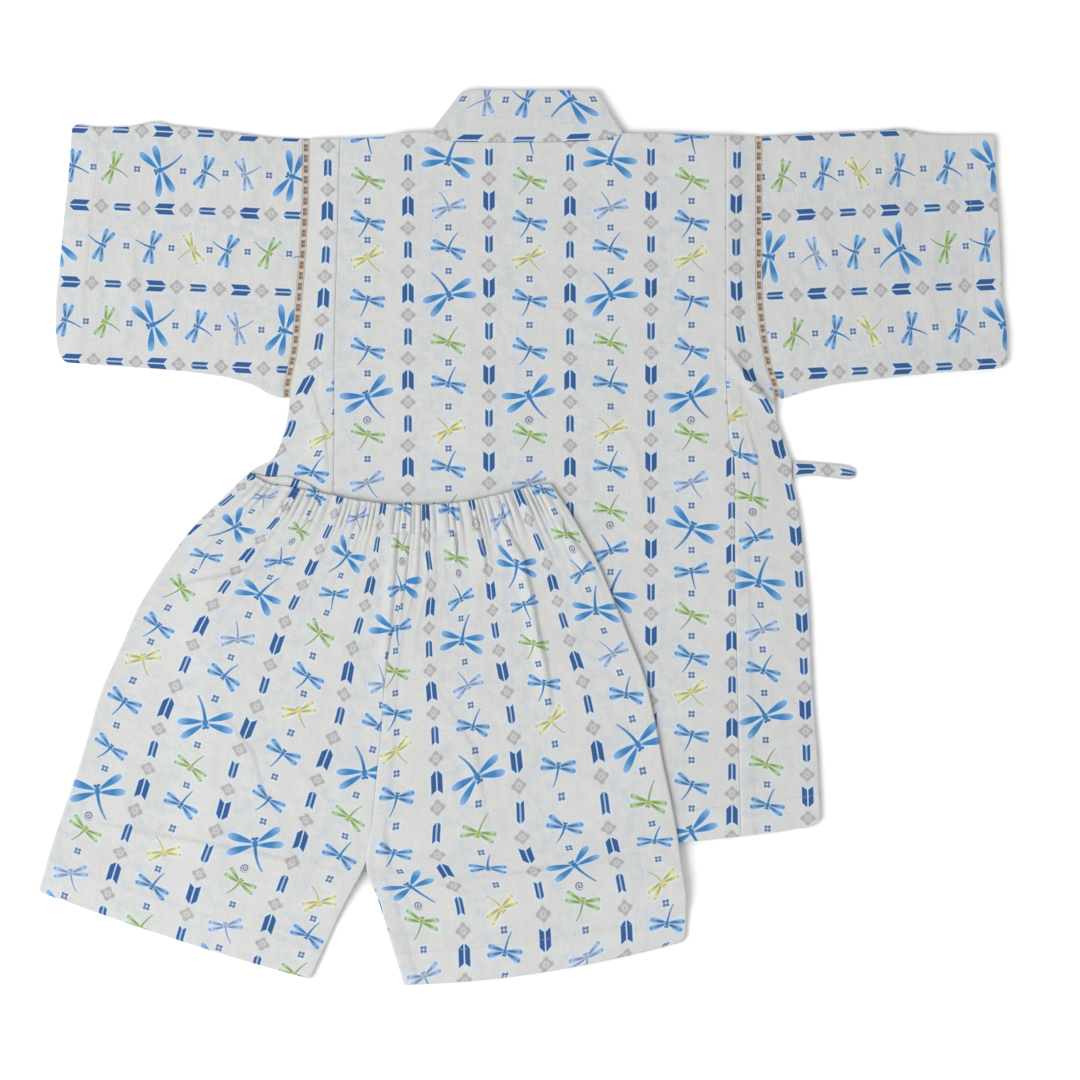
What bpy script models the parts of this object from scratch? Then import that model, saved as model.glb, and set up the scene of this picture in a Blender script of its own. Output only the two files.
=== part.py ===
"""A child's jinbei set laid flat: a wrap jacket face down, and gathered shorts lying over it.

Lengths in the tables are millimetres. X runs to the right, Y up the jacket and Z up from the surface.
Jacket tables are measured from the centre back at the shoulder line: across to the right, down to the
hem. Shorts tables are measured the same way from the middle of the waist.
"""

import math

import bmesh
import bpy

MM = 0.001

# Corners of a face on a wall's rim: a step along it, then the wall's outer or inner side
RIM = ((0, 0), (1, 0), (1, 1), (0, 1))

# The cloth and how its layers lie
CLOTH = 1.0
SEAM_GAP = 0.3
PITCH = CLOTH + SEAM_GAP
FOLD_INSET = 1.8
SHORTS_CLEARANCE = 0.6

# Where the two garments lie, with the whole set centred on the origin
JACKET_X = 4.2
JACKET_Y = 241.2
SHORTS_X = -66.6
SHORTS_Y = 21.0

# Jacket
SHOULDER_DOWN = 1.2
SIDE_HEM_DOWN = 409.2
NECK_BLEND = 40.0
HEM_BLEND = 60.0
BAND_WIDTH = 26.4
BAND_SQUARE_DOWN = 70.0
FRONT_RAMP_START = 90.0
FRONT_RAMP_END = 130.0
LACE_WIDTH = 4.0
TIE_LENGTH = 38.0
TIE_WIDTH = 10.0
TIE_DOWN = 200.0
SHOULDER_FOLD_DOWN = 1.5
UNDERARM_DOWN = 157.0
NECK_LEFT = -58.2
NECK_RIGHT = 58.8

# Shorts
WAIST_GATHERS = 38
GATHER_SHIFT = 0.006
GATHER_SHIFT_RATE = 23.0
GATHER_HEIGHT_CHANGE = 0.25
GATHER_HEIGHT_RATE = 1.7
GATHER_HEIGHT = 1.3
LEG_GATHERS = 10
LEG_GATHER_HEIGHT = 1.2
LEG_GATHER_FADE = 0.3
BACK_WAIST_SHOW = 6.0
BACK_WAIST_START = -98.0
BACK_WAIST_END = -52.0
OVER_EDGE = 12.0
OVER_SLOPE = 35.0
OVER_HEM = 20.0
OVER_HEM_SLOPE = 30.0
FOLD_FADE = 9.0
WAIST_EASE_POWER = 4
HEM_BOW_POWER = 3

# Cells of the grids
SIDE_CELLS = 3
OUTER_FRONT_CELLS = 5
INNER_FRONT_CELLS = 7
SLEEVE_CELLS = 8
LEG_BACK_CELLS = 8
WAIST_BACK_CELLS = 18
NECK_CELLS = 8
SHOULDER_CELLS = 2

# Jacket body, a row for each section across it
# down, left_side, left_seam, right_seam, right_side
BODY = (
    (1.2, -132.3, -114.0, 117.6, 135.3),
    (43.8, -132.9, -115.2, 117.6, 135.3),
    (76.8, -134.9, -116.1, 117.6, 135.3),
    (104.4, -137.1, -117.0, 117.6, 136.3),
    (124.8, -138.8, -117.3, 117.6, 138.9),
    (138.6, -141.3, -117.6, 117.6, 141.6),
    (149.4, -143.6, -117.6, 117.8, 144.9),
    (160.2, -144.3, -117.6, 118.4, 147.0),
    (171.6, -146.1, -117.6, 118.9, 148.2),
    (181.0, -148.6, -117.6, 119.4, 151.8),
    (190.2, -152.1, -117.6, 122.1, 154.8),
    (195.6, -156.6, -117.7, 122.6, 156.9),
    (201.0, -167.4, -117.8, 122.8, 157.2),
    (207.0, -168.6, -117.9, 123.0, 157.2),
    (223.2, -170.4, -118.2, 123.0, 160.8),
    (246.6, -172.2, -118.8, 123.0, 163.8),
    (279.0, -174.0, -120.0, 123.5, 166.8),
    (327.6, -175.2, -121.8, 124.5, 169.2),
    (376.2, -175.8, -123.6, 125.7, 172.8),
    (409.2, -175.2, -124.8, 126.6, 174.3),
)

# Shoulder and neck line of the jacket
# across, down
TOP_EDGE = (
    (-140.0, 1.5),
    (-99.6, 1.2),
    (-85.2, 0.0),
    (-77.4, -1.8),
    (-64.8, -2.4),
    (-58.2, -1.8),
    (-51.6, 1.8),
    (-38.4, 3.6),
    (16.8, 3.4),
    (45.0, 1.8),
    (58.8, -1.8),
    (73.8, -1.8),
    (88.2, -1.2),
    (140.0, 0.0),
)

# Hem of the jacket
# across, down
HEM_EDGE = (
    (-176.0, 409.2),
    (-172.0, 412.5),
    (-159.0, 415.8),
    (-122.4, 420.6),
    (-90.6, 423.6),
    (0.0, 424.8),
    (90.6, 423.6),
    (122.4, 420.6),
    (159.0, 415.8),
    (172.0, 412.5),
    (174.5, 409.2),
)

# Seam between the outer front and its collar band; the inner front mirrors it
# down, across
FRONT_SEAM = (
    (-1.8, -58.2),
    (60.0, -34.0),
    (120.0, -10.7),
    (180.0, 12.7),
    (240.0, 30.0),
    (300.0, 38.0),
    (424.0, 42.0),
)

# Top edge of the collar band above the back neck
# across, down
COLLAR_TOP = (
    (-41.4, -26.4),
    (-35.0, -27.8),
    (9.6, -27.4),
    (37.2, -27.4),
    (42.0, -25.2),
)

# Cuff edge of each sleeve
# part of the way down the cuff, reach
CUFF = {
    "left": (
        (0.0, 274.8),
        (0.18, 276.6),
        (0.39, 279.6),
        (0.58, 282.0),
        (0.77, 284.4),
        (0.93, 283.8),
        (1.0, 280.8),
    ),
    "right": (
        (0.0, 279.0),
        (0.2, 279.6),
        (0.31, 280.8),
        (0.53, 282.6),
        (0.69, 283.4),
        (0.86, 286.2),
        (0.96, 286.2),
        (1.0, 283.8),
    ),
}

# Fold along the top of each sleeve
# reach, down
SLEEVE_TOP = {
    "left": (
        (134.4, 1.5),
        (156.6, 0.6),
        (193.8, -4.2),
        (214.8, -6.6),
        (225.0, -8.6),
        (240.6, -5.8),
        (257.4, -5.4),
        (276.0, -7.2),
    ),
    "right": (
        (137.4, 0.0),
        (173.4, -1.8),
        (213.0, -3.6),
        (221.0, -4.4),
        (238.8, -1.8),
        (280.0, -1.2),
    ),
}

# Underarm seam of each sleeve
# reach, down
SLEEVE_BOTTOM = {
    "left": (
        (149.0, 157.0),
        (153.5, 156.0),
        (166.2, 149.4),
        (180.0, 145.2),
        (193.8, 142.8),
        (221.4, 139.8),
        (249.0, 138.0),
        (281.0, 135.6),
    ),
    "right": (
        (151.0, 157.6),
        (165.6, 153.0),
        (180.6, 149.4),
        (211.2, 145.5),
        (241.8, 142.2),
        (284.0, 139.2),
    ),
}

# Outline of the free end of the tie
# part of the length, then its top and bottom as parts of the width, down from the middle of its root
TIE = (
    (0.0, -0.5, 0.5),
    (0.3, -0.44, 0.38),
    (0.6, -0.35, 0.49),
    (0.85, -0.23, 0.6),
    (0.96, -0.06, 0.54),
    (1.0, 0.12, 0.38),
)

# Top edge of the waistband
# across, down
WAIST_TOP = (
    (-97.8, -18.0),
    (-85.8, -11.4),
    (-73.8, -9.6),
    (-55.2, -6.0),
    (-34.2, -1.8),
    (-6.6, 1.2),
    (7.8, 1.2),
    (34.8, -1.2),
    (54.0, -5.4),
    (76.2, -10.6),
    (83.4, -11.4),
)

# Seam between the waistband and the legs
# across, down
WAIST_SEAM = (
    (-110.4, -6.0),
    (-90.0, 3.0),
    (-67.2, 9.6),
    (-37.2, 15.6),
    (-0.6, 18.6),
    (22.8, 18.0),
    (46.2, 14.4),
    (69.6, 9.6),
    (93.0, 2.4),
)

# Legs, a row for each section from the waist seam to the hem
# outer_across, outer_down, inner_across, inner_down
LEG = {
    "left": (
        (-110.4, -6.0, -0.6, 18.6),
        (-133.2, 16.8, -4.2, 51.0),
        (-150.0, 39.6, -12.6, 82.2),
        (-163.8, 61.8, -16.5, 109.8),
        (-174.0, 84.6, -18.3, 136.8),
        (-186.3, 112.2, -21.3, 165.0),
        (-193.8, 136.8, -24.0, 191.4),
        (-200.4, 159.0, -27.6, 215.4),
        (-209.4, 184.8, -40.2, 240.0),
        (-217.2, 208.2, -51.0, 263.4),
        (-224.4, 233.4, -61.2, 285.6),
    ),
    "right": (
        (93.0, 2.4, -0.6, 18.6),
        (108.3, 29.4, -4.2, 51.0),
        (119.4, 54.0, -12.6, 82.2),
        (129.6, 78.6, -16.5, 109.8),
        (139.5, 103.8, -18.3, 136.8),
        (146.4, 132.6, -21.3, 165.0),
        (151.2, 157.8, -24.0, 191.4),
        (157.2, 186.0, -27.6, 215.4),
        (161.7, 214.2, -19.8, 239.4),
        (165.0, 239.4, -12.3, 264.6),
        (164.4, 264.0, -4.8, 289.2),
    ),
}
LEG_HEM_BOW = {"left": 2.5, "right": 5.4}

# Largest folds of the shorts, from the middle of the waist
# start_across, start_down, end_across, end_down, height, width
LEG_FOLDS = (
    (52.0, 10.0, 66.0, 32.0, 1.4, 9.0),
    (66.0, 32.0, 75.0, 78.0, 2.2, 10.0),
    (75.0, 78.0, 83.0, 121.0, 1.4, 9.0),
    (-64.0, 11.0, -98.0, 41.0, 1.8, 10.0),
    (-98.0, 41.0, -157.0, 58.0, 1.8, 10.0),
    (-188.0, 193.0, -123.0, 205.0, 1.0, 8.0),
    (-17.0, 236.0, 67.0, 222.0, 1.0, 8.0),
    (67.0, 222.0, 144.0, 210.0, 1.0, 8.0),
)


def clear_scene():
    """Take every object out of the file before the set is built."""
    for item in list(bpy.data.objects):
        bpy.data.objects.remove(item, do_unlink=True)


def mix(a, b, part):
    """The value that lies part of the way from a to b."""
    return a + (b - a) * part


def clamp(value, low=0.0, high=1.0):
    """The value, kept between low and high."""
    return min(max(value, low), high)


def ease(part):
    """A smooth step from 0 to 1."""
    part = clamp(part)
    return part * part * (3.0 - 2.0 * part)


def read(table, at, column=1):
    """A column of a table at a place along its first column, on a smooth curve through the rows."""
    last = len(table) - 2
    row = 0
    while row < last and at > table[row + 1][0]:
        row += 1
    here, there = table[row], table[row + 1]
    span = there[0] - here[0]
    slope = (there[column] - here[column]) / span
    before, after = slope, slope
    if row > 0:
        back = table[row - 1]
        earlier = (here[column] - back[column]) / (here[0] - back[0])
        before = 0.5 * (slope + earlier) if slope * earlier > 0.0 else 0.0
    if row < last:
        ahead = table[row + 2]
        later = (ahead[column] - there[column]) / (ahead[0] - there[0])
        after = 0.5 * (slope + later) if slope * later > 0.0 else 0.0
    part = clamp((at - here[0]) / span)
    square, cube = part * part, part * part * part
    return (
        here[column] * (2.0 * cube - 3.0 * square + 1.0)
        + there[column] * (3.0 * square - 2.0 * cube)
        + before * span * (cube - 2.0 * square + part)
        + after * span * (cube - square)
    )


def steps(count):
    """Evenly spaced parts from 0 to 1."""
    return [index / count for index in range(count + 1)]


def jacket_point(across, down, height):
    """A place on the jacket as a point of the whole set."""
    return (JACKET_X + across, JACKET_Y - down, height)


def shorts_point(across, down, height):
    """A place on the shorts as a point of the whole set."""
    return (SHORTS_X + across, SHORTS_Y - down, height)


def cloth_material(name, colour, roughness):
    """A matt cloth finish."""
    material = bpy.data.materials.new(name)
    material.use_nodes = True
    shader = material.node_tree.nodes["Principled BSDF"]
    shader.inputs["Base Color"].default_value = (*colour, 1.0)
    shader.inputs["Roughness"].default_value = roughness
    shader.inputs["Metallic"].default_value = 0.0
    return material


def wall(name, outer, inner, material, ring=False):
    """A closed cloth wall between two grids of points, rows by columns, joined at its edges."""
    rows, columns = len(outer), len(outer[0])
    count = rows * columns
    points = [point for row in outer for point in row]
    points += [point for row in inner for point in row]

    def at(row, column, side):
        return side * count + row * columns + column % columns

    faces = []
    across = range(columns if ring else columns - 1)
    for row in range(rows - 1):
        for column in across:
            corners = ((row, column), (row, column + 1), (row + 1, column + 1), (row + 1, column))
            faces += [[at(r, c, side) for r, c in corners] for side in (0, 1)]
    for row in (0, rows - 1):
        for column in across:
            faces.append([at(row, column + step, side) for step, side in RIM])
    if not ring:
        for column in (0, columns - 1):
            for row in range(rows - 1):
                faces.append([at(row + step, column, side) for step, side in RIM])

    mesh = bpy.data.meshes.new(name)
    mesh.from_pydata([[value * MM for value in point] for point in points], [], faces)
    shape = bmesh.new()
    shape.from_mesh(mesh)
    bmesh.ops.recalc_face_normals(shape, faces=shape.faces)
    shape.to_mesh(mesh)
    shape.free()
    mesh.materials.append(material)
    mesh.shade_smooth()
    mesh.set_sharp_from_angle(angle=math.radians(50.0))
    item = bpy.data.objects.new(name, mesh)
    bpy.context.collection.objects.link(item)
    return item


def flat_wall(name, rows, material):
    """A wall whose rows hold the points of its underside, left to right, from the top down."""
    lifted = [[(x, y, z + CLOTH) for x, y, z in row] for row in rows]
    return wall(name, lifted, rows, material)


def folded_row(fold, free, parts, place, lift):
    """One section through a piece folded flat: down its upper layer, round the fold and back.

    place gives the point of the underside at an across and a down, and lift the rise of the upper layer.
    """
    length = math.hypot(free[0] - fold[0], free[1] - fold[1])
    outer, inner = [], []
    upper, lower = parts
    for part in reversed(upper):
        spot = max(part, FOLD_INSET / length)
        x, y, z = place(mix(fold[0], free[0], spot), mix(fold[1], free[1], spot), spot)
        rise = lift(mix(fold[0], free[0], spot), mix(fold[1], free[1], spot), spot)
        rise *= ease((spot * length - FOLD_INSET) / FOLD_FADE)
        outer.append((x, y, z + PITCH + CLOTH + rise))
        inner.append((x, y, z + PITCH + rise))
    middle = CLOTH + 0.5 * SEAM_GAP
    for holder, inset in ((outer, 0.0), (inner, CLOTH)):
        spot = inset / length
        x, y, z = place(mix(fold[0], free[0], spot), mix(fold[1], free[1], spot), spot)
        holder.append((x, y, z + middle))
    for part in lower:
        spot = max(part, FOLD_INSET / length)
        x, y, z = place(mix(fold[0], free[0], spot), mix(fold[1], free[1], spot), spot)
        outer.append((x, y, z))
        inner.append((x, y, z + CLOTH))
    return outer, inner


def folded_wall(name, sections, material):
    """A wall folded on itself, from sections that each hold an outer and an inner run of points."""
    return wall(name, [outer for outer, _ in sections], [inner for _, inner in sections], material)


def body_down(across, down):
    """A down in the jacket's body, eased to the shoulder line above and to the hem below."""
    near_top = clamp(1.0 - (down - SHOULDER_DOWN) / NECK_BLEND)
    near_hem = clamp(1.0 - (SIDE_HEM_DOWN - down) / HEM_BLEND)
    from_top = near_top * (read(TOP_EDGE, across) - SHOULDER_DOWN)
    from_hem = near_hem * (read(HEM_EDGE, across) - SIDE_HEM_DOWN)
    return down + from_top + from_hem


def neck_stations():
    """Evenly spaced places along the back neck, at which the back panel and the collar both have points."""
    return [mix(NECK_LEFT, NECK_RIGHT, part) for part in steps(NECK_CELLS)]


def neck_down(across):
    """The back neck's line, straight between its stations."""
    stations = neck_stations()
    for start, end in zip(stations, stations[1:]):
        if across <= end:
            break
    part = (across - start) / (end - start)
    return mix(read(TOP_EDGE, start), read(TOP_EDGE, end), part)


def back_parts(start, end):
    """Places across the back panel: two cells on each shoulder, and the neck's stations between them."""
    shoulder_left = [mix(start, NECK_LEFT, part) for part in steps(SHOULDER_CELLS)][:-1]
    shoulder_right = [mix(NECK_RIGHT, end, part) for part in steps(SHOULDER_CELLS)][1:]
    return [(across - start) / (end - start) for across in shoulder_left + neck_stations() + shoulder_right]


def body_panel(name, edges, parts, height, material):
    """A panel of the body between two edges, with a row for each section of the body."""
    rows = []
    for section in BODY:
        start, end = edges(section)
        row = []
        for part in parts:
            across = mix(start, end, part)
            row.append(jacket_point(across, body_down(across, section[0]), height(across, part)))
        rows.append(row)
    return flat_wall(name, rows, material)


def make_back(material):
    """The centre back panel, level over both fronts."""
    half = 0.5 * SEAM_GAP
    body_panel(
        "back",
        lambda section: (section[2] + half, section[3] - half),
        back_parts(BODY[0][2] + half, BODY[0][3] - half),
        lambda across, part: 2.0 * PITCH,
        material,
    )


def make_sides(material):
    """The side panels, which slope from the back panel down to the side seam."""
    half = 0.5 * SEAM_GAP
    body_panel(
        "side_left",
        lambda section: (section[1], section[2] - half),
        steps(SIDE_CELLS),
        lambda across, part: mix(PITCH, 2.0 * PITCH, part),
        material,
    )
    body_panel(
        "side_right",
        lambda section: (section[3] + half, section[4]),
        steps(SIDE_CELLS),
        lambda across, part: mix(2.0 * PITCH, PITCH, part),
        material,
    )


def inner_front_height(across):
    """The underside of the inner front, which comes down to the surface at its side seam."""
    return PITCH * (1.0 - clamp((across - FRONT_RAMP_START) / (FRONT_RAMP_END - FRONT_RAMP_START)))


def front_edge(down):
    """Where the outer front ends beside its collar band."""
    return (NECK_LEFT if down <= SHOULDER_DOWN else read(FRONT_SEAM, down)) - SEAM_GAP


def make_fronts(material):
    """The outer front on the surface, and the inner front lying on it."""
    body_panel(
        "front_left",
        lambda section: (section[1], front_edge(section[0])),
        steps(OUTER_FRONT_CELLS),
        lambda across, part: 0.0,
        material,
    )
    body_panel(
        "front_right",
        lambda section: (-front_edge(section[0]), section[4]),
        steps(INNER_FRONT_CELLS),
        lambda across, part: inner_front_height(across),
        material,
    )


def band_point(down, part, turn):
    """A place on a front's collar band, from its seam to its free edge."""
    seam = NECK_LEFT + FOLD_INSET if down <= SHOULDER_DOWN else read(FRONT_SEAM, down)
    squareness = clamp((down - SHOULDER_DOWN) / (BAND_SQUARE_DOWN - SHOULDER_DOWN))
    across = seam + part * mix(COLLAR_TOP[0][0] - NECK_LEFT, BAND_WIDTH, squareness)
    lift = part * (1.0 - squareness) * (neck_down(NECK_LEFT) - COLLAR_TOP[0][1])
    return turn * across, body_down(across, down) - lift


def collar_row(part):
    """The outer and inner points of one line along the collar, part of the way from seam to free edge."""
    back_top, back_low = 2.0 * PITCH + CLOTH, 2.0 * PITCH
    outer, inner = [], []

    def add(across, down, outer_height, inner_height, inset=0.0):
        outer.append(jacket_point(across, down, outer_height))
        inner.append(jacket_point(across + inset, down, inner_height))

    for section in reversed(BODY):
        add(*band_point(section[0], part, 1.0), 0.0, CLOTH)
    down = mix(neck_down(NECK_LEFT), COLLAR_TOP[0][1], part) - SEAM_GAP
    middle = 0.5 * back_top
    add(mix(NECK_LEFT, COLLAR_TOP[0][0], part), down, middle, middle, CLOTH)
    for index, station in enumerate(neck_stations()):
        inset = {0: FOLD_INSET, NECK_CELLS: -FOLD_INSET}.get(index, 0.0)
        low = station + inset
        high = mix(COLLAR_TOP[0][0], COLLAR_TOP[-1][0], index / NECK_CELLS) + inset
        down = mix(neck_down(low) - SEAM_GAP, read(COLLAR_TOP, high), part)
        add(mix(low, high, part), down, back_top, back_low)
    down = mix(neck_down(NECK_RIGHT), COLLAR_TOP[-1][1], part) - SEAM_GAP
    middle = 0.5 * (PITCH + back_top)
    add(mix(NECK_RIGHT, COLLAR_TOP[-1][0], part), down, middle, middle, -CLOTH)
    for section in BODY:
        add(*band_point(section[0], part, -1.0), PITCH, PITCH + CLOTH)
    return outer, inner


def make_collar(material):
    """The collar band: down the outer front, over the back neck, and down the inner front."""
    rows = [collar_row(part) for part in (0.0, 0.5, 1.0)]
    wall("collar", [outer for outer, _ in rows], [inner for _, inner in rows], material)


def no_lift(across, down, part):
    """No rise in the upper layer."""
    return 0.0


def armhole_reach(side, down):
    """How far from the centre back the body's edge lies beside the armhole."""
    return abs(read(BODY, down, 1 if side == "left" else 4))


def armhole_parts():
    """Places round half an armhole, from the shoulder to the underarm, at the body's own sections."""
    downs = [row[0] for row in BODY if SHOULDER_FOLD_DOWN < row[0] < UNDERARM_DOWN]
    depth = UNDERARM_DOWN - SHOULDER_FOLD_DOWN
    return [0.0] + [(down - SHOULDER_FOLD_DOWN) / depth for down in downs] + [1.0]


def make_sleeve(side, turn, material):
    """A sleeve: one piece folded along its top and sewn under the arm."""
    top, bottom, cuff = SLEEVE_TOP[side], SLEEVE_BOTTOM[side], CUFF[side]
    from_body = SEAM_GAP + LACE_WIDTH + SEAM_GAP

    def spot(part, along):
        low = mix(SHOULDER_FOLD_DOWN, UNDERARM_DOWN, part)
        reach = mix(armhole_reach(side, low) + from_body, read(cuff, part), along)
        return reach, mix(read(top, reach), read(bottom, reach), part)

    sections = []
    for along in steps(SLEEVE_CELLS):

        def place(across, down, part, along=along):
            reach, low = spot(part, along)
            return jacket_point(turn * reach, low, 0.0)

        parts = (armhole_parts(), armhole_parts())
        sections.append(folded_row(spot(0.0, along), spot(1.0, along), parts, place, no_lift))
    folded_wall("sleeve_" + side, sections, material)


def make_lace(side, turn, material):
    """The ladder lace round an armhole, folded over the shoulder with the rest."""
    fold, free = (0.0, SHOULDER_FOLD_DOWN), (0.0, UNDERARM_DOWN)
    sections = []
    for off in (SEAM_GAP, SEAM_GAP + LACE_WIDTH):

        def place(across, down, part, off=off):
            low = mix(SHOULDER_FOLD_DOWN, UNDERARM_DOWN, part)
            return jacket_point(turn * (armhole_reach(side, low) + off), low, 0.0)

        sections.append(folded_row(fold, free, (armhole_parts(), armhole_parts()), place, no_lift))
    folded_wall("lace_" + side, sections, material)


def make_tie(name, across, down, material):
    """A short flat tie with a rounded free end, lying on the surface."""
    rows = []
    for part in (0.0, 0.5, 1.0):
        row = []
        for along, top, bottom in TIE:
            low = down + TIE_WIDTH * mix(top, bottom, part)
            row.append(jacket_point(across + along * TIE_LENGTH, low, 0.0))
        rows.append(row)
    flat_wall(name, rows, material)


def shorts_height(across, down):
    """The underside of the shorts, which lie on the jacket and slope down to the surface beyond it."""
    from_back = SHORTS_X + across - JACKET_X
    from_shoulder = JACKET_Y - SHORTS_Y + down
    seam, side = read(BODY, from_shoulder, 2), read(BODY, from_shoulder, 1)
    on_back = 2.0 * PITCH + CLOTH + SHORTS_CLEARANCE
    on_side = PITCH + CLOTH + SHORTS_CLEARANCE
    height = mix(on_back, on_side, clamp((seam + OVER_EDGE - from_back) / (seam + OVER_EDGE - side)))
    beyond_side = clamp((side - OVER_EDGE - from_back) / OVER_SLOPE)
    beyond_hem = clamp((from_shoulder - HEM_EDGE[5][1] - OVER_HEM) / OVER_HEM_SLOPE)
    return height * (1.0 - beyond_side) * (1.0 - beyond_hem)


def fold_rise(across, down):
    """The rise of the shorts' largest folds at a place."""
    rise = 0.0
    for x0, y0, x1, y1, height, width in LEG_FOLDS:
        dx, dy = x1 - x0, y1 - y0
        along = clamp(((across - x0) * dx + (down - y0) * dy) / (dx * dx + dy * dy))
        away = math.hypot(across - x0 - along * dx, down - y0 - along * dy)
        rise = max(rise, height * ease(1.0 - away / width))
    return rise


def leg_section(side, row):
    """The outer and inner ends of a section of a leg, clear of the waistband and the other leg."""
    outer_across, outer_down, inner_across, inner_down = LEG[side][row]
    turn = -1.0 if side == "left" else 1.0
    return (outer_across, outer_down), (inner_across + turn * 0.5 * SEAM_GAP, inner_down)


def make_leg(side, material):
    """A leg: one piece folded at its outer edge, with its free edges at the centre seam and inner leg."""
    last = len(LEG[side]) - 1
    columns = 2 * LEG_GATHERS
    sections = []
    for row in range(last + 1):
        fold, free = leg_section(side, row)
        along = row / last

        def place(across, down, part, along=along):
            waist = LEG[side][0]
            seam_across, chord = mix(waist[0], waist[2], part), mix(waist[1], waist[3], part)
            from_seam = read(WAIST_SEAM, seam_across) + SEAM_GAP - chord
            from_seam *= (1.0 - along) ** WAIST_EASE_POWER
            bow = along ** HEM_BOW_POWER * LEG_HEM_BOW[side] * 4.0 * part * (1.0 - part)
            low = down + from_seam + bow
            return shorts_point(across, low, shorts_height(across, low))

        def lift(across, down, part, along=along):
            wave = 0.5 - 0.5 * math.cos(2.0 * math.pi * part * LEG_GATHERS)
            gathers = LEG_GATHER_HEIGHT * wave * ease(1.0 - along / LEG_GATHER_FADE)
            return gathers + fold_rise(across, down)

        sections.append(folded_row(fold, free, (steps(columns), steps(LEG_BACK_CELLS)), place, lift))
    folded_wall("shorts_leg_" + side, sections, material)


def waist_point(part, low, back):
    """A place on the waistband, low from 0 at its top edge to 1 at the seam with the legs."""
    top_across = mix(WAIST_TOP[0][0], WAIST_TOP[-1][0], part)
    seam_across = mix(WAIST_SEAM[0][0], WAIST_SEAM[-1][0], part)
    top_down = read(WAIST_TOP, top_across)
    if back:
        shown = clamp((top_across - BACK_WAIST_START) / (BACK_WAIST_END - BACK_WAIST_START))
        top_down -= BACK_WAIST_SHOW * math.sin(math.pi * shown)
    across = mix(top_across, seam_across, low)
    down = mix(top_down, read(WAIST_SEAM, seam_across), low)
    return across, down


def gather_place(part):
    """Evenly counted places round the front of the waist, moved to uneven gather spacings."""
    return part + GATHER_SHIFT * math.sin(GATHER_SHIFT_RATE * part) * math.sin(math.pi * part)


def gather_rise(index, from_end):
    """The rise of the casing at a point of its front: ridges at the odd points, uneven in height."""
    uneven = 1.0 + GATHER_HEIGHT_CHANGE * (math.sin(index * GATHER_HEIGHT_RATE) - 1.0)
    return GATHER_HEIGHT * (index % 2) * uneven * clamp(from_end / FOLD_FADE)


def waist_row(low):
    """The outer and inner points of one line round the waistband."""
    front_points = 2 * WAIST_GATHERS
    width = WAIST_SEAM[-1][0] - WAIST_SEAM[0][0]
    end = FOLD_INSET / width
    outer, inner = [], []

    def add(holder, part, back, height):
        across, down = waist_point(part, low, back)
        holder.append(shorts_point(across, down, shorts_height(across, down) + height))

    for index in range(front_points + 1):
        part = clamp(gather_place(index / front_points), end, 1.0 - end)
        rise = gather_rise(index, min(part, 1.0 - part) * width)
        add(outer, part, False, PITCH + CLOTH + rise)
        add(inner, part, False, PITCH + rise)
    add(outer, 1.0, False, CLOTH + 0.5 * SEAM_GAP)
    add(inner, 1.0 - CLOTH / width, False, CLOTH + 0.5 * SEAM_GAP)
    for index in range(WAIST_BACK_CELLS, -1, -1):
        part = clamp(index / WAIST_BACK_CELLS, end, 1.0 - end)
        add(outer, part, True, 0.0)
        add(inner, part, True, CLOTH)
    add(outer, 0.0, False, CLOTH + 0.5 * SEAM_GAP)
    add(inner, CLOTH / width, False, CLOTH + 0.5 * SEAM_GAP)
    return outer, inner


def make_waistband(material):
    """The gathered casing: a flattened ring, its front over its back."""
    rows = [waist_row(low) for low in (0.0, 0.5, 1.0)]
    wall("shorts_waistband", [outer for outer, _ in rows], [inner for _, inner in rows], material, ring=True)


def main():
    """Build the set."""
    clear_scene()
    cotton = cloth_material("printed_cotton", (0.73, 0.74, 0.73), 0.9)
    lace = cloth_material("cotton_lace", (0.62, 0.52, 0.42), 0.85)
    make_back(cotton)
    make_sides(cotton)
    make_fronts(cotton)
    make_collar(cotton)
    for side, turn in (("left", -1.0), ("right", 1.0)):
        make_sleeve(side, turn, cotton)
        make_lace(side, turn, lace)
    side_edge = read(BODY, TIE_DOWN, 4)
    make_tie("tie_side", side_edge + SEAM_GAP, TIE_DOWN, cotton)
    band_edge = read(FRONT_SEAM, TIE_DOWN + 0.5 * TIE_WIDTH) + BAND_WIDTH
    make_tie("tie_front", band_edge + SEAM_GAP, TIE_DOWN, cotton)
    make_leg("left", cotton)
    make_leg("right", cotton)
    make_waistband(cotton)


main()
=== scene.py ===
"""A child's jinbei set laid flat: its cloth, print, gathers, creases, lace and stitching.

Lengths in the tables are millimetres. The jacket's are measured from the centre back at the shoulder
line, across to the right and down to the hem, and the shorts' from the middle of the waist.
"""

import math

import bmesh
import bpy
import numpy as np
from bpy.props import FloatProperty, FloatVectorProperty, IntProperty, PointerProperty
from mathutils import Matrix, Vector


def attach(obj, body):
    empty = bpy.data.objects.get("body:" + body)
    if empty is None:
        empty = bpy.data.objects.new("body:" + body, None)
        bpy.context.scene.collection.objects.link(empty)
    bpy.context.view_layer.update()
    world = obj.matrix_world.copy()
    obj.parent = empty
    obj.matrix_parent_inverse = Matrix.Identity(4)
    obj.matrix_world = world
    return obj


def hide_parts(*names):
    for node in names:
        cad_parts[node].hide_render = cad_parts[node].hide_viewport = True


bl_info = {
    "name": "Jinbei set",
    "version": (1, 0, 0),
    "blender": (4, 5, 0),
    "location": "3D View > Sidebar > Jinbei",
    "description": "Makes a printed cotton jinbei jacket and shorts, laid flat",
    "category": "Add Mesh",
}

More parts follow.
